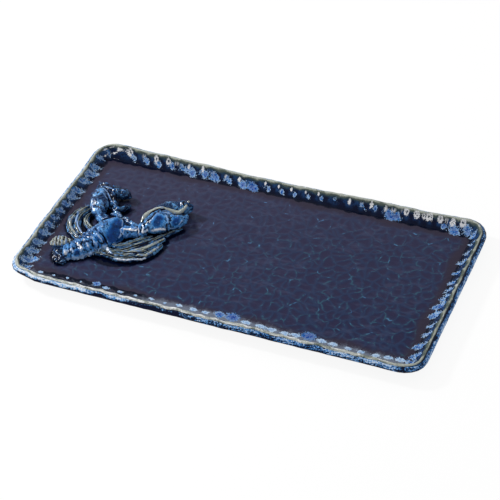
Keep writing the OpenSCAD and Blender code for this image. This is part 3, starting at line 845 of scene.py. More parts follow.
def painted_glint_cover(nodes, mottle):
    """Share of white in the painted highlights by the back's notches, some with an open middle."""
    across, down = nodes.mask("fleck_across"), nodes.mask("fleck_down")
    reach = nodes.math("SQRT", nodes.math("MULTIPLY_ADD", across, across,
                                          nodes.times(down, down)))
    reach = uneven(nodes, reach, mottle, 3.2, 0.5)
    open_part = nodes.times(nodes.remap(reach, 0.25, 0.50, 1.0, 0.0), nodes.mask("fleck_open"))
    cover = nodes.times(nodes.remap(reach, 1.05, 1.40, 1.0, 0.0),
                        nodes.math("SUBTRACT", 1.0, open_part))
    return nodes.times(cover, nodes.remap(nodes.mask("fleck_near"), 0.1, 0.6))


def rim_glaze(colours):
    """Rim glaze: cream crest, dark slope with notch pools and painted shade at the foot, mottled
    lip, painted highlights.
    """
    material, nodes, shader = new_glaze("rim_glaze", PLATTER_GLOSS)
    mottle = mottle_of(nodes, 820.0)
    down = uneven(nodes, "slope", mottle, 0.35, 0.40)
    # Slope blue, with the painted light and shade on the notches' sides
    slope = nodes.coat(colours.navy, colours.slope, uneven(nodes, "slope_blue", mottle, 1.3, 0.9),
                       0.15, 0.85)
    shore = nodes.coat(colours.olive, colours.shore, down, 0.0, 0.18)
    body = nodes.coat(shore, slope, down, 0.08, 0.34)
    # Painted shade: near black towards the slope's foot, in the crease with the floor
    body = nodes.coat(body, colours.foot, down, 0.55, 0.90, 0.0, 0.9)
    body = nodes.coat(body, colours.foot_pale, uneven(nodes, "foot_pale", mottle, 0.8, 0.4),
                      0.25, 0.80)
    body = add_pools(nodes, body, mottle, colours)
    lip = lip_colour(nodes, mottle, colours)
    body = nodes.coat(body, lip, uneven(nodes, "lip", mottle, 0.2, 0.5), 0.30, 0.60)
    body = nodes.coat(body, colours.navy, uneven(nodes, "groove", mottle, 0.5, 0.5), 0.35, 0.75)
    worn = uneven(nodes, "crest", mottle, 0.7)
    body = nodes.coat(body, colours.olive, worn, 0.22, 0.55)
    edge = nodes.coat(colours.cream, colours.white, uneven(nodes, "crest_white", mottle, 1.2),
                      0.30, 0.85)
    body = nodes.coat(body, edge, worn, 0.45, 0.85)
    # Painted highlights: white marks where the back's notches mirror the light
    body = nodes.mix(painted_glint_cover(nodes, mottle), body, colours.white)
    rough = nodes.remap(mottle["Fine"], 0.3, 0.7, 0.10, 0.22)
    finish_glaze(nodes, shader, body, rough, mottle["Fine"], 0.3)
    return material


def lobster_glaze(slot, colours):
    """Glaze of a lobster slot: mottle, cobalt pools, pale ridges, hollows in painted shade, painted
    highlights.
    """
    name = "lobster_" + slot
    material = bpy.data.materials.get(name)
    if material:
        return material
    thin = {"blue_glaze": colours.shell, "pale_glaze": colours.wrist, "cream_glaze": colours.legs}
    material, nodes, shader = new_glaze(name, LOBSTER_GLOSS)
    mottle = mottle_of(nodes, 1000.0)
    fine, broad, crystals = mottle["Fine"], mottle["Broad"], mottle["Crystals"]
    body = nodes.coat(colours.deep, thin[slot], uneven(nodes, broad, mottle, 0.7), 0.42, 0.68)
    body = nodes.coat(body, colours.light_blue, crystals, 0.65, 0.95, 0.0, 0.12)
    patch = nodes.times(nodes.remap(crystals, 0.38, 0.66),
                        nodes.remap(broad, 0.46, 0.62, 0.0, 0.8))
    body = nodes.mix(patch, body, colours.light_blue)
    body = nodes.mix(nodes.mask("dark"), body, colours.navy)
    # Cobalt pools with a fringe of crystals
    full = uneven(nodes, "pool", mottle, 1.2, 0.7)
    body = nodes.coat(body, colours.blue, full, 0.20, 0.50)
    fringe = nodes.times(nodes.remap(full, 0.05, 0.25), nodes.remap(full, 0.35, 0.60, 1.0, 0.0))
    fringe = nodes.times(fringe, nodes.remap(crystals, 0.30, 0.60, 0.0, 0.6))
    body = nodes.mix(fringe, body, colours.light_blue)
    core = nodes.times(nodes.remap(full, 0.36, 0.98), nodes.remap(fine, 0.35, 0.65, 1.0, 0.7))
    depth = nodes.coat(colours.cobalt, colours.navy, broad, 0.35, 0.65, 0.40, 0.85)
    body = nodes.mix(core, body, depth)
    # Cream edges, then thin glaze on ridges, thick glaze and painted shade in hollows, and painted
    # highlights
    cream = uneven(nodes, "cream", mottle, 0.6)
    body = nodes.coat(body, colours.olive, cream, 0.22, 0.50)
    body = nodes.coat(body, colours.cream, cream, 0.45, 0.85)
    body = add_breaks(nodes, body, mottle, colours)
    # Painted highlights: ridge blue at their edge, white in the middle
    fleck = nodes.times(uneven(nodes, "fleck", mottle, 2.0, 0.9),
                        nodes.remap(nodes.mask("fleck"), 0.12, 0.40))
    body = nodes.coat(body, colours.sheen, fleck, 0.25, 0.65)
    body = nodes.coat(body, colours.white, fleck, 0.72, 1.10)
    rough = nodes.remap(fine, 0.3, 0.7, 0.07, 0.16)
    finish_glaze(nodes, shader, body, rough, fine, 0.22)
    return material


# The lobster's pieces

LOBSTER_NODES = [name for name in frame["nodes"] if name not in ("base_slab", "rim_band")]

# The lobster lies to the left of this place along the platter (m).
LOBSTER_END = -0.01

# Glaze lines and spots on the lobster, with painted highlights and painted shade among them, in
# its own frame in mm: the kind of mark, half width, rise of the clay, and the places that a line
# runs through or the middle of a spot.
SHELL_MARKS = [
    ("ridge", .8, .45, [(-7, 6, 10.5), (1, 7, 11), (14, 11.5, 9), (22.5, 10, 10)]),
    ("ridge", .8, .5, [(2, 2, 13), (8.5, 1.5, 13.5), (17, 3.5, 13), (24.5, 3, 12)]),
    ("ridge", .8, .4, [(24.5, 3, 12), (22.5, -2.5, 10), (17.5, -8.5, 10), (12.5, -12.5, 6.5),
                       (10, -13, 5.5)]),
    ("ridge", .7, .3, [(0, -11, 7), (1, -12.5, 3), (5, -13, 3.5), (10.5, -13, 1.5)]),
    ("cream", 1.6, .5, [(20.5, 2, 13)]),
    ("fleck", 1.7, .6, [(-9, -2.5, 11.5)]),
    ("fleck", 1.3, .5, [(-15.2, -.5, 11.2)]),
    ("fleck", .9, .5, [(-21.3, .6, 10.1), (-20.7, -2.5, 9.6), (-20.6, -5, 8.5)]),
    ("fleck", 1.2, .6, [(-33.2, 1.8, 6.4), (-31, 1.8, 8), (-28, 1, 8.2)]),
    ("fleck", .8, .3, [(0, -1, 12.5)]),
    ("ridge", .9, .5, [(-7.5, -8, 9), (-11, -7.5, 8.5)]),
    ("fleck", .75, .4, [(-30, -2.5, 1.4), (-25.5, -5.5, 1.4), (-19.5, -8, 1.4), (-14.5, -10, 1.6),
                        (-9, -11.2, 1.8), (-3.5, -13, 3)]),
    ("ridge", .7, .4, [(-35.5, 16, 3.5), (-36.5, 8.5, 4.5), (-36, 6, 4.5), (-37, 3, 4),
                       (-33, -.5, 1.5)]),
    ("hollow", .8, -.5, [(.5, -5, 12), (-.5, -8, 9.5), (-1, -9.5, 8), (-1, -11, 5.5)]),
    ("hollow", .8, -.5, [(-16, 1, 10.5), (-20, -2, 9.5), (-20, -6, 7)]),
    ("hollow", .8, -.5, [(-24, 5, 9.5), (-26.5, .5, 8.5), (-29, -1.5, 6)]),
    ("hollow", .8, -.5, [(-11, -6, 9.5), (-11.5, -8, 7), (-9, -10.5, 6)]),
    ("pool", 7.0, 0, [(3.5, -11, 6), (7, -9, 10), (12, -7.5, 12), (17, -5, 12)]),
    ("pool", 6.0, 0, [(6, -12, 5), (13, -11, 6)]),
    ("pool", 3.2, 0, [(-5, -6, 10)]),
    ("pool", 3.0, 0, [(-25, -3, 6)]),
]
CLAW_MARKS = [
    ("ridge", .7, .4, [(22, -7, 7), (20.5, -12.5, 9.5), (23, -17, 9.5), (27, -18.5, 10.5)]),
    ("fleck", .8, .5, [(17.5, -12, 9.5), (20, -14.5, 9.5), (23, -18.5, 8.5), (26.5, -20.5, 10)]),
    ("ridge", .8, .4, [(17.5, -12, 9.5), (14.5, -13, 7), (15, -13, 3.5)]),
    ("fleck", .7, .4, [(26.5, -20.5, 10), (25, -21.5, 8), (25, -21.5, 3)]),
    ("fleck", .7, .4, [(28.5, -23, 10.5), (26.5, -24, 8.5), (26, -23.5, 4)]),
    ("fleck", 1.3, .4, [(27, -24.5, 8), (31, -25, 8.5)]),
    ("fleck", 1.5, .4, [(33.5, -28.5, 8.5), (37.7, -31.9, 9.2), (41.4, -34.9, 8.8)]),
    ("ridge", 1.0, .4, [(49, -28, 15), (47.5, -32, 14), (46.5, -34.5, 12.5)]),
    ("ridge", .8, .2, [(37, -23.5, 14), (43.5, -22, 15), (47.5, -22.5, 15), (51, -24.5, 14.5),
                       (54, -28.5, 13.5), (56.5, -34, 12.5)]),
    ("ridge", .9, .4, [(46, -36, 7.5), (49, -36.5, 6), (53.5, -39, 9), (57, -38.5, 10.5)]),
    ("hollow", .9, -.5, [(28.5, -20.5, 11), (26, -23, 9.5), (25.5, -22.5, 4)]),
    ("hollow", .9, -.6, [(44.5, -34.5, 12), (43, -35.5, 8), (43.5, -35.5, 4)]),
    ("hollow", 1.0, -.4, [(32.5, -21.5, 12.5), (38, -21.5, 14.5), (42.5, -20, 15), (48.5, -19, 15),
                          (55, -19, 12), (59, -22, 8)]),
    ("pool", 5.0, 0, [(39, -28.5, 13.5), (43, -27, 15)]),
    ("pool", 4.0, 0, [(51.5, -37, 11.5), (55, -35, 11)]),
    ("ridge", .7, .5, [(34, 40.5, 13), (35, 34.5, 12), (33, 29, 10.5), (32, 24.5, 9),
                       (31.5, 19.5, 6.5)]),
    ("ridge", .7, .5, [(37.5, 41.5, 12.5), (39.5, 37, 12), (41.5, 32, 11.5)]),
    ("ridge", 1.5, .5, [(46, 27.5, 11.5)]),
    ("ridge", .8, .3, [(21, 36.5, 12), (17.5, 33, 11.5), (14.5, 27, 10.5), (14, 24.5, 6.5)]),
    ("ridge", .8, .3, [(25, 39, 12.5), (29, 39.5, 13.5), (30, 36.5, 13.5), (30, 30, 12),
                       (29, 27, 9.5)]),
    ("hollow", 3.4, -.3, [(36, 27, 10), (38, 24, 9)]),
]
LEG_MARKS = [
    ("cream", .9, .5, [(2.5, -21, 4), (7, -23, 4), (13.5, -24.5, 4), (17, -27.5, 4),
                       (24.5, -28.5, 4), (31.5, -31, 4)]),
    ("cream", .9, .5, [(10.5, -32.5, 4), (15.5, -35, 4), (19.5, -37, 4), (24.5, -37.5, 4),
                       (31, -38, 4), (38, -38, 4)]),
    ("cream", .9, .5, [(3.5, -26.5, 4), (7, -30, 4), (12, -36, 4), (17.5, -39.5, 4)]),
    ("cream", .9, .5, [(1.5, -31.5, 4), (5.5, -33.5, 4), (9.5, -39, 4), (13, -45, 4),
                       (18, -44.5, 4), (26.5, -44, 4)]),
    ("fleck", .8, .4, [(-6, -28.5, 3), (-4, -32.5, 3), (-1, -36.5, 3), (3, -39.8, 3.4),
                       (8.4, -44.4, 2.6), (11.9, -45.8, 2.6)]),
    ("ridge", .8, .4, [(-4.5, -19.5, 4), (-5, -24.5, 4), (-3.5, -28.5, 4)]),
    ("fleck", 1.0, .4, [(-3, -14.5, 4), (-4.5, -17.5, 4)]),
    ("hollow", .8, -.6, [(3.5, -25, 4), (7.5, -27, 4), (14, -29, 4), (20.5, -32, 4),
                         (29, -33.5, 4)]),
    ("hollow", .8, -.6, [(3, -29.5, 4), (8, -34, 4), (13, -40, 4), (19, -41, 4), (26.5, -40.5, 4)]),
    ("hollow", .8, -.6, [(-1, -33, 4), (4.5, -38.5, 4), (10.5, -44.5, 4), (16.5, -46.5, 4)]),
    ("cream", 1.2, .5, [(2, 38, 4), (-4, 37, 4), (-8, 30, 4), (-9.5, 21.5, 4), (-10, 18, 4)]),
    ("cream", 1.0, .4, [(19, 39, 4), (11, 40, 4), (6.5, 39.5, 4)]),
    ("ridge", 1.3, .4, [(6.5, 39.5, 4), (-.5, 32.5, 4), (-4.5, 24, 4), (-6.5, 16.5, 4)]),
    ("cream", .8, .4, [(6, 30.5, 4), (2, 25, 4), (0, 19.5, 4), (0, 15.5, 4)]),
    ("cream", .8, .4, [(5, 25.5, 4), (4, 20.5, 4), (4.5, 15, 4)]),
]
MARKS = SHELL_MARKS + CLAW_MARKS + LEG_MARKS

# Sizes of the lobster's body in mm: the shell, then the tail's length along its bent spine, its
# half width and height at the fan, its bend and its rings.
SHELL_LENGTH, SHELL_HALF, SHELL_HIGH = 26, 13.5, 14
TAIL_LENGTH, TAIL_HALF, TAIL_HIGH = 32, 9, 9
TAIL_BEND = math.radians(48)
TAIL_RINGS = 6

# Sizes of the tail fan in mm: a flat lobe's length, width and thickness, how far it starts inside
# the tail, and how far apart the lobes start.
FAN_LENGTH, FAN_WIDE, FAN_THICK = 12, 8.5, 4.5
FAN_ROOT, FAN_SPREAD = 1.8, 5.04

# How far an arched limb goes on round below its middle.
ARCH_DIP = math.radians(16.4)

# How deep a piece may sink into the floor, and the room it leaves below the top of the solids (m).
SINK, HEADROOM = 0.35 * MM, 0.02 * MM

# How far from a joint the painted shade between pieces is looked for (mm).
JOINT_REACH = 3.0

# Thickness along a limb: place from 0 to 1, share of its width and share of its height.
SHELL_SHARES = [(0, .92, .92), (.3, 1, 1), (.6, .93, .98), (.85, .62, .8), (.97, .3, .55),
                (1, .1, .4)]
ROUNDED = [(0, .4, .4), (.15, .9, .9), (.5, 1, 1), (.85, .9, .9), (1, .4, .4)]
FAN_SHARES = [(0, .45, .7), (.3, .8, .95), (.65, 1.1, 1), (.9, .85, .8), (1, .35, .4)]

# The flat lobes of the tail fan: name, turn from the tail's end in degrees and share of length.
FAN_LOBES = [("middle", 0, .8), ("right_inner", 30, .8), ("right_outer", 58, .7),
             ("left_inner", -28, .85)]

# The curled outer lobe of the tail fan, and the pale edge that winds over the right claw: place,
# half width and half height, in mm.
FAN_BALL = [
    (-22.5, 11.5, 4.6, 3.2, 3.4), (-25.0, 13.5, 5.2, 6.2, 5.0), (-28.5, 17.0, 5.3, 7.2, 5.3),
    (-31.5, 20.0, 4.9, 5.6, 4.4), (-33.0, 21.5, 4.4, 3.0, 2.8),
]
CLAW_EDGE = [
    (33, -15, 9, 1.3, 1.2), (39, -12.5, 11.5, 1.8, 1.6), (45, -13.5, 12.3, 2, 1.8),
    (52, -16, 13, 2, 1.8), (57.5, -20, 10.5, 2, 1.8), (61, -24.4, 8.4, 2, 1.8),
    (65.5, -27, 8.6, 1.9, 1.7), (69.5, -27.5, 11, 1.7, 1.5), (74, -27, 14, .7, .7),
]

# The feelers' paths in mm.
FEELERS = {
    "right": [(21, 0, 7.7), (26, -1.5, 8.7), (26, -9, 9), (27.5, -15, 8.7), (32, -17.5, 8.1)],
    "left": [(20, 1, 8.4), (24, 3.5, 9.8), (25, 8, 10.1), (22.5, 12, 8.7)],
}

# The legs' paths: place along the lobster, distance out from its side, and half width, in mm.
RIGHT_LEGS = [
    [(3.5, -5, 1.5), (4, 3, 2.2), (8, 6.5, 2.8), (15, 8.8, 3.0), (24, 12, 2.8), (32, 15.3, 1.2)],
    [(-2.7, -5, 1.5), (-3, 3.5, 2.4), (5, 12.3, 2.9), (14, 15.2, 3.3), (24, 18.2, 3.1),
     (33, 20.5, 2.6), (42, 22, 2.0), (56, 24.5, 1.0)],
    [(-8, -5, 1.5), (-5.5, 5, 2.2), (-2.5, 10.5, 2.6), (5, 18, 3.0), (14, 21.8, 3.3),
     (24, 24.2, 3.1), (37, 25.3, 1.2)],
    [(-14, -4.5, 1.5), (-9, 5, 2.0), (-4, 15.5, 2.6), (4, 24.5, 3.0), (13, 29, 3.2),
     (22, 30.4, 2.8), (31, 29.6, 1.2)],
]
LEFT_LEGS = [
    [(2.8, -6, 1.5), (2.5, 3.5, 2.3), (5, 12.5, 2.4), (10.5, 17, 2.4), (16, 17, 1.2)],
    [(-7.6, -5, 1.5), (-6.8, 6, 2.5), (-1.5, 16.6, 3.0), (6.5, 22.6, 3.0), (18, 23.5, 1.4)],
    [(-12, -4.5, 1.5), (-12.2, 6, 2.4), (-7.5, 19.7, 2.8), (2, 26.8, 2.6), (11, 28.2, 2.3),
     (20, 27.2, 1.1)],
]


def mark_field(points):
    """Strength of glaze marks and painted light at places in the lobster's frame, and the clay's
    rise.
    """
    field = {kind: np.zeros(len(points)) for kind in ("fleck", "ridge", "cream", "hollow", "pool")}
    rise = np.zeros(len(points))
    for kind, half, height, places in MARKS:
        places = np.array(places, float)
        low, high = places.min(axis=0) - 3 * half, places.max(axis=0) + 3 * half
        inside = np.flatnonzero(np.all((points > low) & (points < high), axis=1))
        gap = np.full(len(inside), 1e6)
        for start, end in zip(places, places[1:] if len(places) > 1 else places):
            way = end - start
            off = points[inside] - start
            share = np.clip(off @ way / max(way @ way, 1e-9), 0, 1)
            gap = np.minimum(gap, np.linalg.norm(off - share[:, None] * way, axis=1))
        spread = 0.5 if kind == "ridge" else 0.72
        flat = 0.35 if kind == "fleck" else 0.2
        strength = np.exp(-(np.maximum(gap - flat, 0) / (spread * half)) ** 2)
        field[kind][inside] = np.maximum(field[kind][inside], strength)
        rise[inside] += height * strength
    return field, rise


def limb_rows(start, end, width, thick, shares):
    """Rows of a straight limb from its ends, its width, its thickness and shares of both."""
    start, end = np.array(start, float), np.array(end, float)
    return [[*(start + (end - start) * at), width / 2 * w, thick / 2 * t] for at, w, t in shares]


class Limb:
    """A piece of the lobster, drawn out of a sphere along rows.

    A row is a place, a half width and a half height, in mm in the lobster's own frame. share runs
    along the limb from 0 to 1, angle runs round it, and points are the places of its vertices.
    """

    def __init__(self, context, name, rows, segments=72, rings=72, cap=0.1, arch=False, relief=None,
                 end_depth=0.8):
        self.sizes, self.colours = context.scene.lobster_sizes, context.scene.platter_colours
        self.piece = start_piece(name, bpy.ops.mesh.primitive_uv_sphere_add, segments=segments,
                                 ring_count=rings, radius=1.0)
        ball = read_points(self.piece)
        u = np.arccos(np.clip(ball[:, 2], -1, 1)) / math.pi
        self.angle = np.mod(np.arctan2(ball[:, 1], ball[:, 0]), 2 * math.pi)
        self.share = np.clip((u - cap) / (1 - 2 * cap), 0, 1)
        to_end = np.clip(np.minimum(u, 1 - u) / cap, 0, 1) * math.pi / 2
        shrink, beyond = np.sin(to_end), np.sign(u - 0.5) * np.cos(to_end)
        row = curve(rows, self.share)
        way = curve(rows, self.share + 1e-3)[:, :3] - curve(rows, self.share - 1e-3)[:, :3]
        way /= np.linalg.norm(way, axis=1)[:, None]
        side = np.stack([way[:, 1], -way[:, 0], np.zeros(len(way))], axis=1)
        side /= np.linalg.norm(side, axis=1)[:, None]
        up = np.cross(side, way)
        wide, high = np.maximum(row[:, 3], 0.2), np.maximum(row[:, 4], 0.2)
        across, lift, middle = self.arched() if arch else self.rounded()
        swell = relief(self.share, self.angle) if relief else np.zeros(len(u))
        grow = 1 + swell / np.maximum(np.minimum(wide, high), 1.0)
        across, lift = across * grow * shrink, middle + (lift * grow - middle) * shrink
        depth = np.minimum(wide, high) * end_depth
        self.points = (row[:, :3] + side * (across * wide)[:, None] + up * (lift * high)[:, None]
                       + way * (beyond * depth)[:, None])

    def rounded(self):
        """A round section: shares across and up, and the middle of the end caps."""
        return np.cos(self.angle), np.sin(self.angle), 0.0

    def arched(self):
        """A round back over a flat belly: shares across and up, and the middle of the end caps."""
        over = -ARCH_DIP + np.clip(self.angle / math.pi, 0, 1) * (math.pi + 2 * ARCH_DIP)
        top = self.angle <= math.pi
        back = (self.angle - math.pi) / math.pi
        across = np.where(top, np.cos(over), -math.cos(ARCH_DIP) * (1 - 2 * back))
        lift = np.where(top, 0.22 + 0.78 * np.sin(over), -0.02)
        return across, lift, 0.45

    def on_platter(self):
        """The points in the platter's frame, in metres."""
        turned = Matrix.Rotation(self.sizes.turn, 3, "Z")
        return (self.points * MM) @ np.array(turned).T + np.array(self.sizes.place)

    def join(self, other):
        """Takes in another limb, whose points follow this one's own."""
        for limb in (self, other):
            write_points(limb.piece, limb.points)
        only(self.piece)
        other.piece.select_set(True)
        bpy.ops.object.join()
        self.points = read_points(self.piece)

    def finish(self, node, slot, seed, pool=0.0, cream=0.0, rough=1.0, dark=0.0, pale=0.0,
               fleck=0.0):
        """Sets the piece on the floor with lumps and glaze lines; stores the masks, painted light
        among them.
        """
        piece, points = self.piece, self.points
        write_points(piece, self.on_platter())
        face_outwards(piece)
        field, rise = mark_field(points)
        rise += self.sizes.lumps / MM * rough * (lumps(points, 6.0, seed)
                                                 + 0.6 * lumps(points, 2.8, seed + 50))
        placed = read_points(piece) + read_normals(piece) * (rise * MM)[:, None]
        placed[:, 2] = np.clip(placed[:, 2], self.sizes.place[2] - SINK, CAD_HIGH.z - HEADROOM)
        write_points(piece, placed)
        stand = convexity(piece)
        others = node_tree_of([n for n in LOBSTER_NODES if n != node])
        gap = distances(others, placed, JOINT_REACH)
        # Painted shade: darker at joints with other pieces, low down near the floor and in creases
        joint = np.exp(-gap ** 2) * np.clip(0.65 + 0.6 * lumps(points, 5.0, seed + 7), 0.15, 0.9)
        low = np.clip(1 - points[:, 2] / 2.5, 0, 1)
        thick_and_shaded = np.maximum(joint, low * 0.9) + np.clip(-stand * 6, 0, 1)
        masks = {"ridge": np.clip(stand * 1.6 - 0.1, 0, 0.5) + field["ridge"] + pale,
                 "hollow": np.clip(thick_and_shaded, 0, 1) * (1 - field["fleck"]) + field["hollow"],
                 "pool": pool + field["pool"],
                 "cream": cream + field["cream"],
                 "fleck": fleck + field["fleck"],
                 "dark": np.full(len(points), dark)}
        for name, values in masks.items():
            write_mask(piece, name, np.clip(values, 0, 1.2))
        hand_over(piece, node, lobster_glaze(slot, self.colours))


def tail_line(along):
    """Place and heading of the tail's spine, in mm from the shell's back edge."""
    steps = (np.arange(60) + 0.5) / 60
    heading = math.pi - TAIL_BEND * (along * steps / TAIL_LENGTH) ** 2
    x, y = along * np.cos(heading).mean(), along * np.sin(heading).mean()
    return x, y, math.pi - TAIL_BEND * (along / TAIL_LENGTH) ** 2


def hand_place(origin, turn, rows):
    """Rows given from a claw's palm end, moved to the lobster's frame."""
    c, s = math.cos(math.radians(turn)), math.sin(math.radians(turn))
    return [[origin[0] + c * x - s * y, origin[1] + s * x + c * y, z, w, h]
            for x, y, z, w, h in rows]


class PLATTER_OT_floor(bpy.types.Operator):
    """Makes the slab with its hammered floor"""
    bl_idname = "platter.make_floor"
    bl_label = "Make Floor"

    def execute(self, context):
        sizes, colours = context.scene.platter_sizes, context.scene.platter_colours
        floor, x, y = self.lay_out(sizes)
        self.store_masks(floor, sizes, x, y)
        self.hammer(floor, sizes)
        self.close_below(floor, sizes)
        hand_over(floor, "base_slab", floor_glaze(sizes, colours))
        return {"FINISHED"}

    def lay_out(self, sizes):
        """A grid with rounded corners at the floor's height; gives it and its plan places."""
        half_x = sizes.length / 2 - sizes.floor_edge
        half_y = sizes.width / 2 - sizes.floor_edge
        radius = sizes.corner - sizes.floor_edge
        floor = start_piece("glazed_slab", bpy.ops.mesh.primitive_grid_add,
                            x_subdivisions=FLOOR_GRID[0], y_subdivisions=FLOOR_GRID[1], size=2.0)
        flat = read_points(floor)
        x, y = flat[:, 0] * half_x, flat[:, 1] * half_y
        p = np.clip((np.abs(x) - half_x + radius) / radius, 0, 1)
        q = np.clip((np.abs(y) - half_y + radius) / radius, 0, 1)
        x = np.sign(x) * (np.abs(x) - p * radius * (1 - np.sqrt(1 - q * q / 2)))
        y = np.sign(y) * (np.abs(y) - q * radius * (1 - np.sqrt(1 - p * p / 2)))
        write_points(floor, np.stack([x, y, np.full(len(x), sizes.floor_height)], axis=1))
        return floor, x, y

    def store_masks(self, floor, sizes, x, y):
        """Stores where the floor's glaze is hazy, pooled, dark or pale, and where shade is painted.
        """
        line = RimLine(sizes)
        along, inset = line.find(x / MM, y / MM)
        pool, tone = pool_field(line, along, inset, sizes.notch_slant)
        write_mask(floor, "pool", pool)
        write_mask(floor, "pool_tone", tone)
        uneven_edge = inset + 1.5 * wave(along, (37.0, 61.0, 90.0), 21)
        write_mask(floor, "edge", 1 - step(15.0, 25.0, uneven_edge))
        # From the back left of the floor, where it is hazy, to the front right, where it is clear
        side = x / sizes.length - y / sizes.width
        write_mask(floor, "haze", np.clip(0.5 - 0.75 * side, 0, 1))
        write_mask(floor, "clear", np.clip(0.65 + 0.5 * side, 0.25, 1.0))
        ragged = inset + 0.7 * wave(along, (9.0, 14.0, 23.0), 22)
        front = stretch(along, FRONT_FLOOR)
        write_mask(floor, "foot_pale", along_rim(FOOT_GLAZE, along)
                   * np.interp(ragged, [13, 16, 22], [1, .6, 0]))
        # Painted shade in the crease along the rim's foot, partly thick glaze
        write_mask(floor, "foot_dark", along_rim(FOOT_GLAZE, along, 2)
                   * step(12.8, 14.8, ragged + 4 * (1 - front))
                   * (1 - step(14.0, 17.0, ragged - 2.2 * front)))
        # Painted shade on the floor round the lobster's foot
        near = np.zeros(len(x))
        close = np.flatnonzero((x < LOBSTER_END) & (inset > 10))
        gap = distances(node_tree_of(LOBSTER_NODES), read_points(floor)[close], 9.0)
        near[close] = np.exp(-(gap / 3.4) ** 2)
        write_mask(floor, "near", near)

    def hammer(self, floor, sizes):
        """Presses the cells into the floor with a geometry modifier, and applies it."""
        tree = bpy.data.node_groups.new("Hammered cells", "GeometryNodeTree")
        for way in ("INPUT", "OUTPUT"):
            tree.interface.new_socket("Geometry", in_out=way, socket_type="NodeSocketGeometry")
        nodes = Nodes(tree)
        place = nodes.add("GeometryNodeInputPosition").outputs[0]
        cell = floor_cells(nodes, place, sizes.cell_count)
        edge = nodes.add("GeometryNodeInputNamedAttribute", {"Name": "edge"}, data_type="FLOAT")
        depth = nodes.times(nodes.remap(cell, 0.0, 0.32, 0.0, -sizes.cell_depth),
                            nodes.remap(edge.outputs[0], 0.35, 0.95, 1.0, 0.0))
        move = nodes.add("ShaderNodeCombineXYZ", {2: depth}).outputs[0]
        whole = nodes.add("NodeGroupInput").outputs[0]
        moved = nodes.add("GeometryNodeSetPosition", {"Geometry": whole, "Offset": move})
        nodes.add("NodeGroupOutput", {0: moved.outputs[0]})
        only(floor)
        modifier = floor.modifiers.new("Hammered cells", "NODES")
        modifier.node_group = tree
        bpy.ops.object.modifier_apply(modifier=modifier.name)

    def close_below(self, floor, sizes):
        """Draws the floor's edge down to the flat resting face and closes it."""
        only(floor)
        bpy.ops.object.mode_set(mode="EDIT")
        bpy.ops.mesh.select_all(action="SELECT")
        bpy.ops.mesh.region_to_loop()
        bpy.ops.mesh.extrude_edges_move(
            TRANSFORM_OT_translate={"value": (0, 0, SLAB_LOW.z - sizes.floor_height)})
        bpy.ops.mesh.edge_face_add()
        bpy.ops.object.mode_set(mode="OBJECT")
        points = read_points(floor)
        low = points[:, 2] < sizes.floor_height * 0.5
        points[low, 2] = SLAB_LOW.z
        write_points(floor, points)
        write_mask(floor, "under", low.astype(float))
        face_outwards(floor)
        bpy.ops.object.shade_smooth_by_angle(angle=math.radians(40))


class RimGrid:
    """Places of the rim's vertices: along the rim, and by their row on the profile."""

    def __init__(self, rim, line, rows):
        ring = read_points(rim)
        turn = np.mod(np.arctan2(ring[:, 1], ring[:, 0]) / (2 * math.pi), 1)
        around = np.arctan2(ring[:, 2], np.hypot(ring[:, 0], ring[:, 1]) - 1.0)
        self.row = np.rint(np.mod(around / (2 * math.pi), 1) * rows).astype(int) % rows
        self.along = -turn * line.round % line.round
        knots = np.array([(i, z, 0.0) for i, z in PROFILE])
        steps = np.linspace(0, len(PROFILE) - 1, rows)
        share = np.concatenate([[0], np.cumsum(np.linalg.norm(np.diff(knots, axis=0), axis=1))])
        share = np.interp(steps, np.arange(len(PROFILE)), share / share[-1])
        profile = curve(knots, share)
        self.inset, self.height = profile[self.row, 0], profile[self.row, 1]
        self.first = steps[self.row]
        self.slope = (np.clip((self.inset - SLOPE_TOP) / (RIM_FOOT - SLOPE_TOP), 0, 1)
                      * (self.first > CREST_ROW))
        self.front = stretch(self.along, FRONT_RIM)
        self.right = stretch(self.along, RIGHT_RIM)


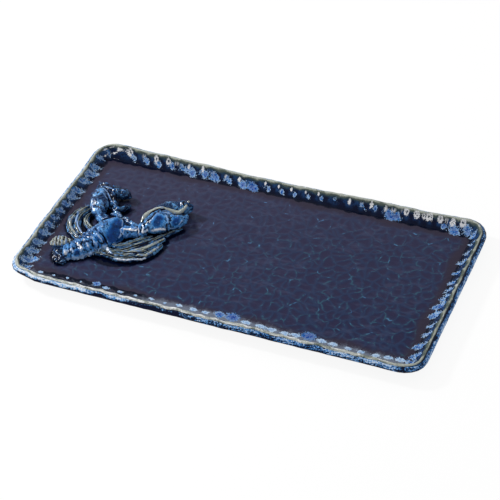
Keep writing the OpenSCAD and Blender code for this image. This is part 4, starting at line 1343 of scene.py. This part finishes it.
class PLATTER_OT_rim(bpy.types.Operator):
    """Makes the rim with its lip, crest and slanting notches"""
    bl_idname = "platter.make_rim"
    bl_label = "Make Rim"

    def execute(self, context):
        sizes, colours = context.scene.platter_sizes, context.scene.platter_colours
        line = RimLine(sizes)
        rows = 2 * (len(PROFILE) - 1) + 1
        rim = start_piece("glazed_rim", bpy.ops.mesh.primitive_torus_add,
                          major_segments=RIM_STEPS, minor_segments=rows, major_radius=1.0,
                          minor_radius=0.25)
        grid = RimGrid(rim, line, rows)
        bite = notch_bite(line, grid.along, grid.inset, sizes.notch_slant)
        self.shape(rim, line, grid, bite * sizes.notch_depth / MM)
        face_outwards(rim)
        self.store_slope(rim, line, grid, sizes.notch_slant)
        self.store_crest(rim, grid, bite)
        self.store_lip(rim, grid)
        self.store_painted_glints(rim, line, grid)
        hand_over(rim, "rim_band", rim_glaze(colours))
        return {"FINISHED"}

    def shape(self, rim, line, grid, bite):
        """Puts the vertices on the profile, with notches and hand-made unevenness."""
        along, first, front, right = grid.along, grid.first, grid.front, grid.right
        loose = step(4.0, 7.0, first) * (1 - step(14.0, 20.0, first))
        drift = (0.28 * (1 - 0.8 * right) * (1 + wave(along, (31.0, 57.0, 83.0), 3))
                 + (0.12 + 0.16 * front) * wave(along, (11.0, 17.0, 23.0), 5)) * loose
        sag = (0.22 * (1 + wave(along, (23.0, 44.0, 71.0), 4))
               + 0.10 * (1 + wave(along, (9.0, 13.0, 19.0), 6))) * loose
        press = np.interp(grid.slope, [0, .2, .6, .9, 1], [.25, .8, 1, .55, 0])
        before = 0.25 * (first - CREST_FOOT) / (CREST_ROW - CREST_FOOT)
        press = np.where(first > CREST_ROW, press, np.where(first > CREST_FOOT, before, 0)) * bite
        base = np.stack([along, grid.inset * 2, grid.height * 2], axis=1)
        rough = 0.10 * lumps(base, 9.0, 7) * loose
        whole = step(0.0, 6.0, first)
        lift = along_rim(RIM_LIFT, along) * whole * (1 - step(14.0, 20.0, first))
        draw = along_rim(RIM_DRAW, along) * whole * (1 - 0.65 * step(13.0, 21.0, first))
        deep = np.clip(grid.inset + drift + draw - press + rough, 0.02, None)
        high = grid.height + lift - sag - 0.5 * press - np.abs(rough)
        x, y = line.place(along, deep)
        write_points(rim, np.stack([x, y, np.clip(high, 0, None)], axis=1) * MM)

    def store_slope(self, rim, line, grid, slant):
        """Stores the inner slope's glaze: pools, bands, and painted light and shade on each notch's
        sides.
        """
        along, inset = grid.along, grid.inset
        pool, tone = pool_field(line, along, inset, slant)
        write_mask(rim, "pool", np.where(grid.first > INNER_ROW, pool, -1))
        write_mask(rim, "pool_tone", tone)
        write_mask(rim, "slope", np.where(grid.first < LIP_ROW, 0.5, grid.slope))
        write_mask(rim, "foot_pale",
                   along_rim(FOOT_GLAZE, along) * grid.front * step(.5, .85, grid.slope))
        # Painted light and shade: one side of each notch lighter and the other darker, as the light
        # falls
        side = (notch_bite(line, along + 1.6, inset, slant)
                - notch_bite(line, along - 1.6, inset, slant))
        write_mask(rim, "slope_blue", along_rim(SLOPE_GLAZE, along) + 0.45 * side - 0.08)

    def store_crest(self, rim, grid, bite):
        """Stores where the cream glaze breaks over the crest, and the dark groove beside it."""
        along, first, front, right = grid.along, grid.first, grid.front, grid.right
        wide = first + 1.0 * front * (first < CREST_ROW)
        wide = wide - 1.2 * front * (first > 14) * np.clip(first - 14, 0, 1)
        wide = wide + 0.45 * right * wave(along, (12.0, 19.0, 33.0), 24)
        crest = np.interp(wide, [11, 11.4, 12, 13, 14, 15, 15.8, 17],
                          [0, .5, .95, 1, 1, .8, .45, 0])
        crest = crest * (0.84 + 0.18 * wave(along, (13.0, 29.0, 47.0), 9))
        cut = step(13.5 - 0.9 * right, 15.0 - 0.9 * right, first)
        crest = crest - (0.35 + 0.6 * right) * bite * cut
        crest = crest + 0.22 * front * streaks(along, grid.row, (13.0, 27.0, 43.0), 18)
        write_mask(rim, "crest", np.clip(crest, 0, 1.2))
        drawn = streaks(along, grid.row, (9.0, 19.0, 37.0), 17)
        write_mask(rim, "crest_white", along_rim(CREST_WHITE, along) + 0.4 * drawn)
        groove = bump(10.9 - 0.5 * right, 0.7 + 1.1 * right, first) * (1 - 0.25 * front)
        strength = 0.55 + 0.4 * right + 0.35 * wave(along, (15.0, 26.0, 41.0), 14)
        write_mask(rim, "groove", groove * np.clip(strength, 0, 1.1))

    def store_lip(self, rim, grid):
        """Stores how pale and how blue the outer lip is, down to the dark underside."""
        along, first, front, right = grid.along, grid.first, grid.front, grid.right
        low = 1 - step(7.0, 9.0, first + 0.5 * wave(along, (7.0, 12.0, 19.0), 12))
        corner = stretch(along, THICK_CORNER)
        under = 1 - step(5.7, 7.1, first - 1.1 * corner
                         + (0.5 + 0.4 * corner) * wave(along, (9.0, 14.0, 21.0), 13))
        dark = 0.5 * under * (1 - right) * (1 - 0.2 * front) * (1 + 1.3 * corner)
        drawn = streaks(along, grid.row, (9.0, 19.0, 37.0), 17)
        write_mask(rim, "lip", np.interp(first, [2.5, 4.0, 10.6, 11.4], [0, 1, 1, 0]))
        write_mask(rim, "lip_tone", along_rim(LIP_GLAZE, along)
                   + low * (0.75 * right - 0.4 + 0.15 * front) - dark + 0.3 * drawn
                   - 0.15 * right - 0.18 * front)
        write_mask(rim, "lip_blue", along_rim(LIP_GLAZE, along, 2))

    def store_painted_glints(self, rim, line, grid):
        """Stores each vertex's place in the nearest painted highlight, in shares of its size."""
        nearest = np.full(len(grid.along), 9.0)
        fleck = np.zeros((3, len(grid.along)))
        for place, deep, half, down, middle in PAINTED_GLINTS:
            across, fall = line.off(grid.along, place) / half, (grid.inset - deep) / down
            closer = np.hypot(across, fall) < nearest
            nearest = np.where(closer, np.hypot(across, fall), nearest)
            fleck = np.where(closer, [across, fall, np.full(len(across), middle)], fleck)
        for name, values in zip(("fleck_across", "fleck_down", "fleck_open"), fleck):
            write_mask(rim, name, values)
        write_mask(rim, "fleck_near", np.clip(2.2 - nearest, 0, 1) * (grid.first > INNER_ROW))


class PLATTER_OT_body(bpy.types.Operator):
    """Makes the lobster's shell and the six rings of its tail"""
    bl_idname = "platter.make_body"
    bl_label = "Make Body"

    def execute(self, context):
        rows = [[SHELL_LENGTH * at, 0, 0, SHELL_HALF * w, SHELL_HIGH * h]
                for at, w, h in SHELL_SHARES]
        limb = Limb(context, "shell", rows, 120, 112, 0.06, True, self.shell, 0.12)
        limb.finish("carapace", "blue_glaze", 11, pool=0.12, rough=0.7)
        for i in range(1, TAIL_RINGS + 1):
            limb = Limb(context, "tail_ring_%d" % i, self.ring_rows(i), 112, 56, 0.12, True,
                        self.ring, 0.10)
            share, over = limb.share, np.abs(limb.angle - math.pi / 2)
            pool = (0.7 if i < 3 else 0.45) * bump(0.85, .6, over) * bump(0.6, .5, share)
            pale = 0.7 * bump(0.25, 0.25, share) * bump(0.6, 1.0, over)
            pale = pale + 0.8 * bump(1.25, .3, over)
            # Painted highlight on the front edge of each ring
            fleck = 0.9 * bump(0.25, 0.2, share) * bump(1.0, .35, limb.angle)
            limb.finish("abdomen_segment_%d" % i, "blue_glaze", 20 + i, pool=pool, pale=pale,
                        fleck=fleck)
        return {"FINISHED"}

    @staticmethod
    def shell(share, angle):
        """Relief of the shell: a spine, a collar at the back, a groove and flatter flanks."""
        over = np.abs(angle - math.pi / 2)
        spine = 0.6 * bump(0, .22, over) * step(0.05, 0.3, share)
        roof = -0.9 * bump(.75, .6, over)
        collar = 0.9 * bump(0.03, 0.09, share)
        groove = -0.3 * bump(0.50 + 0.12 * np.cos(angle), 0.05, share) * (over < 1.5)
        return spine + collar + groove + roof + 0.5 * bump(1.15, .2, over)

    @staticmethod
    def ring_rows(i):
        """Rows of one ring of the tail, from its back edge forwards."""
        rows = []
        for at in (0.0, 0.25, 0.5, 0.75, 1.0):
            along = (i - at) * TAIL_LENGTH / TAIL_RINGS
            x, y, _ = tail_line(along)
            scale = np.interp(at, [0, .25, .7, 1], [.95, 1.0, .97, .9]) * 0.95
            half = np.interp(along, [0, TAIL_LENGTH], [SHELL_HALF, TAIL_HALF])
            high = np.interp(along, [0, TAIL_LENGTH], [SHELL_HIGH, TAIL_HIGH])
            rows.append([x, y, 0, scale * half, scale * high])
        return rows

    @staticmethod
    def ring(share, angle):
        """Relief of a ring: an overlapping front edge with low knobs on its top and sides."""
        over = np.abs(angle - math.pi / 2)
        knob = 0.4 * bump(0.35, 0.6, share) * bump(0.1, .35, over)
        lap = 0.6 * bump(0.22, 0.24, share) - 0.5 * bump(0.95, 0.18, share)
        boss = 0.4 * bump(0.4, 0.4, share) * bump(0.62, .25, over)
        side = 0.6 * bump(1.25, .3, over) * bump(0.4, .6, share)
        return knob + lap + boss + side - 0.25 * bump(0.36, .2, over)


class PLATTER_OT_tail_fan(bpy.types.Operator):
    """Makes the five lobes of the lobster's tail fan"""
    bl_idname = "platter.make_tail_fan"
    bl_label = "Make Tail Fan"

    def execute(self, context):
        x, y, out = tail_line(TAIL_LENGTH)
        for label, turn, length in FAN_LOBES:
            off = math.sin(math.radians(turn)) * FAN_SPREAD
            across = out + math.pi / 2
            root = (x + off * math.cos(across) - FAN_ROOT * math.cos(out),
                    y + off * math.sin(across) - FAN_ROOT * math.sin(out), 0.48 * FAN_THICK)
            way = out + math.radians(turn)
            reach = FAN_LENGTH * length + FAN_ROOT
            tip = (root[0] + reach * math.cos(way), root[1] + reach * math.sin(way), root[2])
            rows = limb_rows(root, tip, FAN_WIDE, FAN_THICK, FAN_SHARES)
            limb = Limb(context, "fan_lobe_" + label, rows, 96, 72, 0.14, relief=self.ribs,
                        end_depth=0.5)
            limb.finish("tail_fan_" + label, "pale_glaze", 40 + turn % 7, rough=0.8, dark=0.85)
        limb = Limb(context, "fan_lobe_left_outer", FAN_BALL, 96, 72, 0.14, relief=self.folds,
                    end_depth=0.5)
        up = np.sin(limb.angle)
        cream = 0.75 * step(0.35, 0.75, up) - 0.3 * step(-.2, .5, -up)
        limb.finish("tail_fan_left_outer", "pale_glaze", 46, cream=cream, rough=0.8)
        return {"FINISHED"}

    @staticmethod
    def ribs(share, angle):
        """Relief of a flat lobe: ribs along it."""
        return 0.35 * np.cos(angle * 7) * step(.2, .5, share)

    @staticmethod
    def folds(share, angle):
        """Relief of the curled outer lobe: folds that wind over its top, and a crease below."""
        up = np.sin(angle)
        return 0.45 * np.sin(share * 34 + angle) * step(0.1, 0.8, up) - 0.6 * bump(0.25, 0.3, up)


class PLATTER_OT_right_claw(bpy.types.Operator):
    """Makes the big claw on the lobster's right, arm to fingers"""
    bl_idname = "platter.make_right_claw"
    bl_label = "Make Right Claw"

    def execute(self, context):
        rows = limb_rows((14, -7, 5.2), (28.4, -19.5, 5.2), 9.5, 9.5, ROUNDED)
        limb = Limb(context, "right_arm_piece", rows, relief=self.rings)
        limb.finish("right_arm", "blue_glaze", 51, pool=0.15, pale=0.35)
        rows = limb_rows((26.3, -18.3, 6.2), (32.5, -21.9, 6.2), 10.9, 10.9, ROUNDED)
        limb = Limb(context, "right_wrist_piece", rows, relief=self.rings)
        limb.finish("right_wrist", "blue_glaze", 52)
        rows = limb_rows((30.2, -20, 6.8), (52.5, -25.5, 8.4), 24, 15,
                         [(0, .3, .5), (.25, .66, .85), (.6, .98, 1), (.85, 1, .95), (1, .8, .75)])
        limb = Limb(context, "right_palm_piece", rows, 96, 80)
        limb.finish("right_palm", "blue_glaze", 53, pool=0.15, rough=0.8)
        hand = ((52.54, -25.51), -14)
        rows = hand_place(*hand, [(-6, 9.4, 8.3, 5, 6), (1, 11.4, 8, 6.2, 6),
                                  (8.6, 10.6, 7.7, 6, 5.6), (14.5, 7.4, 7.7, 5.4, 5.6),
                                  (18.9, 3.6, 9, 4.3, 6), (21, 2, 11.5, 1.9, 3.6)])
        limb = Limb(context, "right_fixed_finger_piece", rows, 88, 80)
        count = len(limb.points)
        limb.join(Limb(context, "right_claw_edge", CLAW_EDGE, 32, 96, 0.04))
        cream = np.where(np.arange(len(limb.points)) < count, 0.0, 0.95)
        limb.finish("right_fixed_finger", "cream_glaze", 54, cream=cream, rough=0.5)
        rows = hand_place(*hand, [(-5, -3.6, 8.5, 5, 5.6), (-1, -5.6, 8.2, 6, 6),
                                  (4.5, -7.4, 7.7, 5.8, 5.4), (10.1, -7, 7, 4.1, 4),
                                  (14.9, -4.8, 6.7, 1.2, 1.6)])
        limb = Limb(context, "right_moving_finger_piece", rows, 80, 72)
        limb.finish("right_moving_finger", "blue_glaze", 55, pool=0.2)
        return {"FINISHED"}

    @staticmethod
    def rings(share, angle):
        """Relief of the arm: three flat sides and a ring at its end."""
        return 0.35 * np.cos(angle * 3 + 0.6) + 0.4 * bump(0.85, .1, share)


class PLATTER_OT_left_claw(bpy.types.Operator):
    """Makes the big claw on the lobster's left, arm to fingers"""
    bl_idname = "platter.make_left_claw"
    bl_label = "Make Left Claw"

    def execute(self, context):
        rows = limb_rows((14, 7.6, 5.2), (17, 24.3, 5.2), 8.55, 8.55, ROUNDED)
        limb = Limb(context, "left_arm_piece", rows)
        limb.finish("left_arm", "blue_glaze", 61)
        rows = limb_rows((15.7, 22.9, 7.2), (36.8, 45.6, 7.2), 16, 13.6,
                         [(0, .55, .6), (.25, .95, .95), (.55, 1, 1), (.82, .85, .9),
                          (1, .35, .45)])
        limb = Limb(context, "left_wrist_piece", rows, 88, 80)
        limb.finish("left_wrist", "pale_glaze", 62)
        rows = limb_rows((40, 50.7, 7.2), (31.7, 19.8, 4.7), 15, 12.75,
                         [(0, .35, .45), (.15, .8, .85), (.45, 1, 1), (.75, .75, .8), (1, .3, .4)])
        limb = Limb(context, "left_palm_piece", rows, 96, 80, relief=self.folds)
        limb.finish("left_palm", "blue_glaze", 63, dark=0.8)
        hand = ((40.02, 50.67), -105)
        rows = hand_place(*hand, [(9.6, 2.3, 7.7, 3.8, 3.8), (13.6, 5.6, 7.8, 5, 4.8),
                                  (18.4, 10.1, 7.2, 5.3, 4.8), (22.7, 13.9, 6.4, 4.5, 4.1),
                                  (25.6, 15.4, 5.9, 1.9, 1.9)])
        limb = Limb(context, "left_fixed_finger_piece", rows, 80, 72)
        limb.finish("left_fixed_finger", "blue_glaze", 64, dark=0.8)
        rows = hand_place(*hand, [(28, -2, 3.6, 2.6, 3), (33, 0, 3.6, 2.8, 2.8),
                                  (35, 5.4, 3.6, 2.5, 2.5), (34, 9.6, 3.6, 1.9, 2),
                                  (33.5, 12, 3.6, .8, .9)])
        limb = Limb(context, "left_moving_finger_piece", rows, 48, 64)
        limb.finish("left_moving_finger", "cream_glaze", 65, dark=0.85)
        return {"FINISHED"}

    @staticmethod
    def folds(_share, angle):
        """Relief of the palm: two folds along it with a crease between them."""
        return (0.6 * bump(2.1, .3, angle) + 0.5 * bump(1.2, .25, angle)
                - 0.6 * bump(1.65, .2, angle))


class PLATTER_OT_legs(bpy.types.Operator):
    """Makes the walking legs on both sides of the lobster"""
    bl_idname = "platter.make_legs"
    bl_label = "Make Legs"

    def execute(self, context):
        half = context.scene.lobster_sizes.leg_width / MM / 2
        for label, side, legs, seed in (("right", -1, RIGHT_LEGS, 70), ("left", 1, LEFT_LEGS, 80)):
            for i, path in enumerate(legs, 1):
                rows = [[x, side * (SHELL_HALF + out), 0.9 * half, wide, half * min(1, wide / 2)]
                        for x, out, wide in path]
                limb = Limb(context, "%s_leg_piece_%d" % (label, i), rows, 72, 128, 0.05,
                            relief=self.strands)
                cream = 0.1 + 0.5 * (bump(1.18, .4, limb.angle) + bump(1.96, .4, limb.angle))
                limb.finish("%s_leg_%d" % (label, i), "cream_glaze", seed + i, cream=cream,
                            rough=0.6)
        return {"FINISHED"}

    @staticmethod
    def strands(_share, angle):
        """Relief of a leg: three creases along its top."""
        return sum(-0.55 * bump(at, .2, angle) for at in (.8, 1.57, 2.35))


class PLATTER_OT_feelers(bpy.types.Operator):
    """Makes the two short feelers beside the lobster's snout"""
    bl_idname = "platter.make_feelers"
    bl_label = "Make Feelers"

    def execute(self, context):
        half = context.scene.lobster_sizes.feeler_width / MM / 2
        for label, path in FEELERS.items():
            widths = [half] * len(path)
            widths[0] = widths[-1] = half * .6
            rows = [[*place, width, width] for place, width in zip(path, widths)]
            limb = Limb(context, label + "_feeler", rows, 40, 80, 0.05)
            limb.finish(label + "_antenna", "pale_glaze", 90, rough=0.6)
        return {"FINISHED"}


def seen_directly(nodes):
    """1 for what the camera, mirrors and clear things see, 0 for what gives light."""
    path = nodes.add("ShaderNodeLightPath").outputs
    seen = nodes.math("ADD", path["Is Camera Ray"], path["Is Glossy Ray"])
    return nodes.math("ADD", seen, path["Is Transmission Ray"], clamp=True)


class PLATTER_OT_stage(bpy.types.Operator):
    """Makes the sheet below, the light and the camera"""
    bl_idname = "platter.make_stage"
    bl_label = "Make Stage"

    def execute(self, context):
        self.lay_sheet()
        self.set_world(context)
        self.hang_lamps(context)
        self.set_camera(context)
        context.scene.view_settings.view_transform = "Standard"
        return {"FINISHED"}

    def lay_sheet(self):
        """A white sheet that keeps the platter's shadow."""
        sheet = start_piece("white_sheet", bpy.ops.mesh.primitive_plane_add,
                            size=SHEET_SIZE, location=(0, 0, -SHEET_DROP))
        bpy.ops.object.transform_apply(location=True)
        material = bpy.data.materials.new("white_sheet")
        material.use_nodes = True
        tree = material.node_tree
        tree.nodes.remove(tree.nodes["Principled BSDF"])
        nodes = Nodes(tree)
        seen = seen_directly(nodes)
        plain = nodes.add("ShaderNodeBsdfDiffuse",
                          {"Color": nodes.mix(seen, (0.8, 0.8, 0.8), (0.12, 0.12, 0.12))})
        glow = nodes.add("ShaderNodeEmission",
                         {"Color": (1, 1, 1), "Strength": nodes.times(seen, 0.90)})
        both = nodes.add("ShaderNodeAddShader", {0: plain.outputs[0], 1: glow.outputs[0]})
        tree.links.new(both.outputs[0], tree.nodes["Material Output"].inputs["Surface"])
        sheet.data.materials.append(material)

    def set_world(self, context):
        """Soft light from all round, seen as white."""
        soft_light = context.scene.platter_stage.soft_light
        world = bpy.data.worlds.new("white_room")
        world.use_nodes = True
        context.scene.world = world
        nodes = Nodes(world.node_tree)
        back = world.node_tree.nodes["Background"]
        back.inputs["Color"].default_value = (1, 1, 1, 1)
        strength = nodes.remap(seen_directly(nodes), 0.0, 1.0, soft_light, 1.0, False)
        world.node_tree.links.new(strength, back.inputs["Strength"])

    def hang_lamps(self, context):
        """The main lamp, and a panel that only the lobster's glaze mirrors."""
        stage = context.scene.platter_stage
        self.hang_lamp(context, "main_lamp", LAMP_PLACE, stage.lamp_size, stage.lamp_power)
        panel = self.hang_lamp(context, "side_panel", PANEL_PLACE, stage.panel_size,
                               stage.panel_power)
        panel.visible_diffuse = False
        pieces = bpy.data.collections.new("lobster_pieces")
        for piece in context.scene.objects:
            if piece.type == "MESH" and piece.active_material.name.startswith("lobster_"):
                pieces.objects.link(piece)
        panel.light_linking.receiver_collection = pieces

    def hang_lamp(self, context, name, place, size, power):
        """A round lamp that points at the platter's middle."""
        data = bpy.data.lights.new(name, "AREA")
        data.shape = "DISK"
        data.size = size
        data.energy = power
        lamp = bpy.data.objects.new(name, data)
        context.collection.objects.link(lamp)
        lamp.location = place
        lamp.rotation_euler = (-lamp.location).to_track_quat("-Z", "Y").to_euler()
        return lamp

    def set_camera(self, context):
        """The camera at its turn, rise and roll round the point that it looks at."""
        turn, rise, roll = (math.radians(angle) for angle in CAMERA_ANGLES)
        back = Vector((math.sin(turn) * math.cos(rise), -math.cos(turn) * math.cos(rise),
                       math.sin(rise)))
        right = Vector((0, 0, 1)).cross(back).normalized()
        up = back.cross(right)
        c, s = math.cos(roll), math.sin(roll)
        right, up = c * right + s * up, c * up - s * right
        data = bpy.data.cameras.new("camera")
        data.sensor_width = CAMERA_SENSOR
        data.lens = CAMERA_LENS
        camera = bpy.data.objects.new("camera", data)
        context.collection.objects.link(camera)
        place = Matrix((right, up, back)).transposed().to_4x4()
        place.translation = Vector(CAMERA_TARGET) + back * CAMERA_DISTANCE
        camera.matrix_world = place
        context.scene.camera = camera


class PLATTER_PT_panel(bpy.types.Panel):
    """Lists the steps and sizes of the platter"""
    bl_idname = "PLATTER_PT_panel"
    bl_label = "Lobster Platter"
    bl_space_type = "VIEW_3D"
    bl_region_type = "UI"
    bl_category = "Platter"

    def draw(self, context):
        layout = self.layout
        for step_class in STEPS:
            layout.operator(step_class.bl_idname)
        for group in (context.scene.platter_sizes, context.scene.lobster_sizes,
                      context.scene.platter_colours, context.scene.platter_stage):
            box = layout.box()
            for name in group.bl_rna.properties.keys():
                if name not in ("rna_type", "name"):
                    box.prop(group, name)


GROUPS = {"platter_sizes": PlatterSizes, "lobster_sizes": LobsterSizes,
          "platter_colours": GlazeColours, "platter_stage": StageSettings}
STEPS = (PLATTER_OT_floor, PLATTER_OT_rim, PLATTER_OT_body, PLATTER_OT_tail_fan,
         PLATTER_OT_right_claw, PLATTER_OT_left_claw, PLATTER_OT_legs, PLATTER_OT_feelers,
         PLATTER_OT_stage)


def register():
    """Registers the property groups, the steps and the panel."""
    for name, group in GROUPS.items():
        bpy.utils.register_class(group)
        setattr(bpy.types.Scene, name, bpy.props.PointerProperty(type=group))
    for step_class in STEPS + (PLATTER_PT_panel,):
        bpy.utils.register_class(step_class)


def unregister():
    """Takes everything back out again."""
    for step_class in reversed(STEPS + (PLATTER_PT_panel,)):
        bpy.utils.unregister_class(step_class)
    for name, group in reversed(list(GROUPS.items())):
        delattr(bpy.types.Scene, name)
        bpy.utils.unregister_class(group)


def main():
    """Makes all pieces in order."""
    register()
    for step_class in STEPS:
        group, name = step_class.bl_idname.split(".")
        getattr(getattr(bpy.ops, group), name)()


if __name__ == "__main__":
    main()
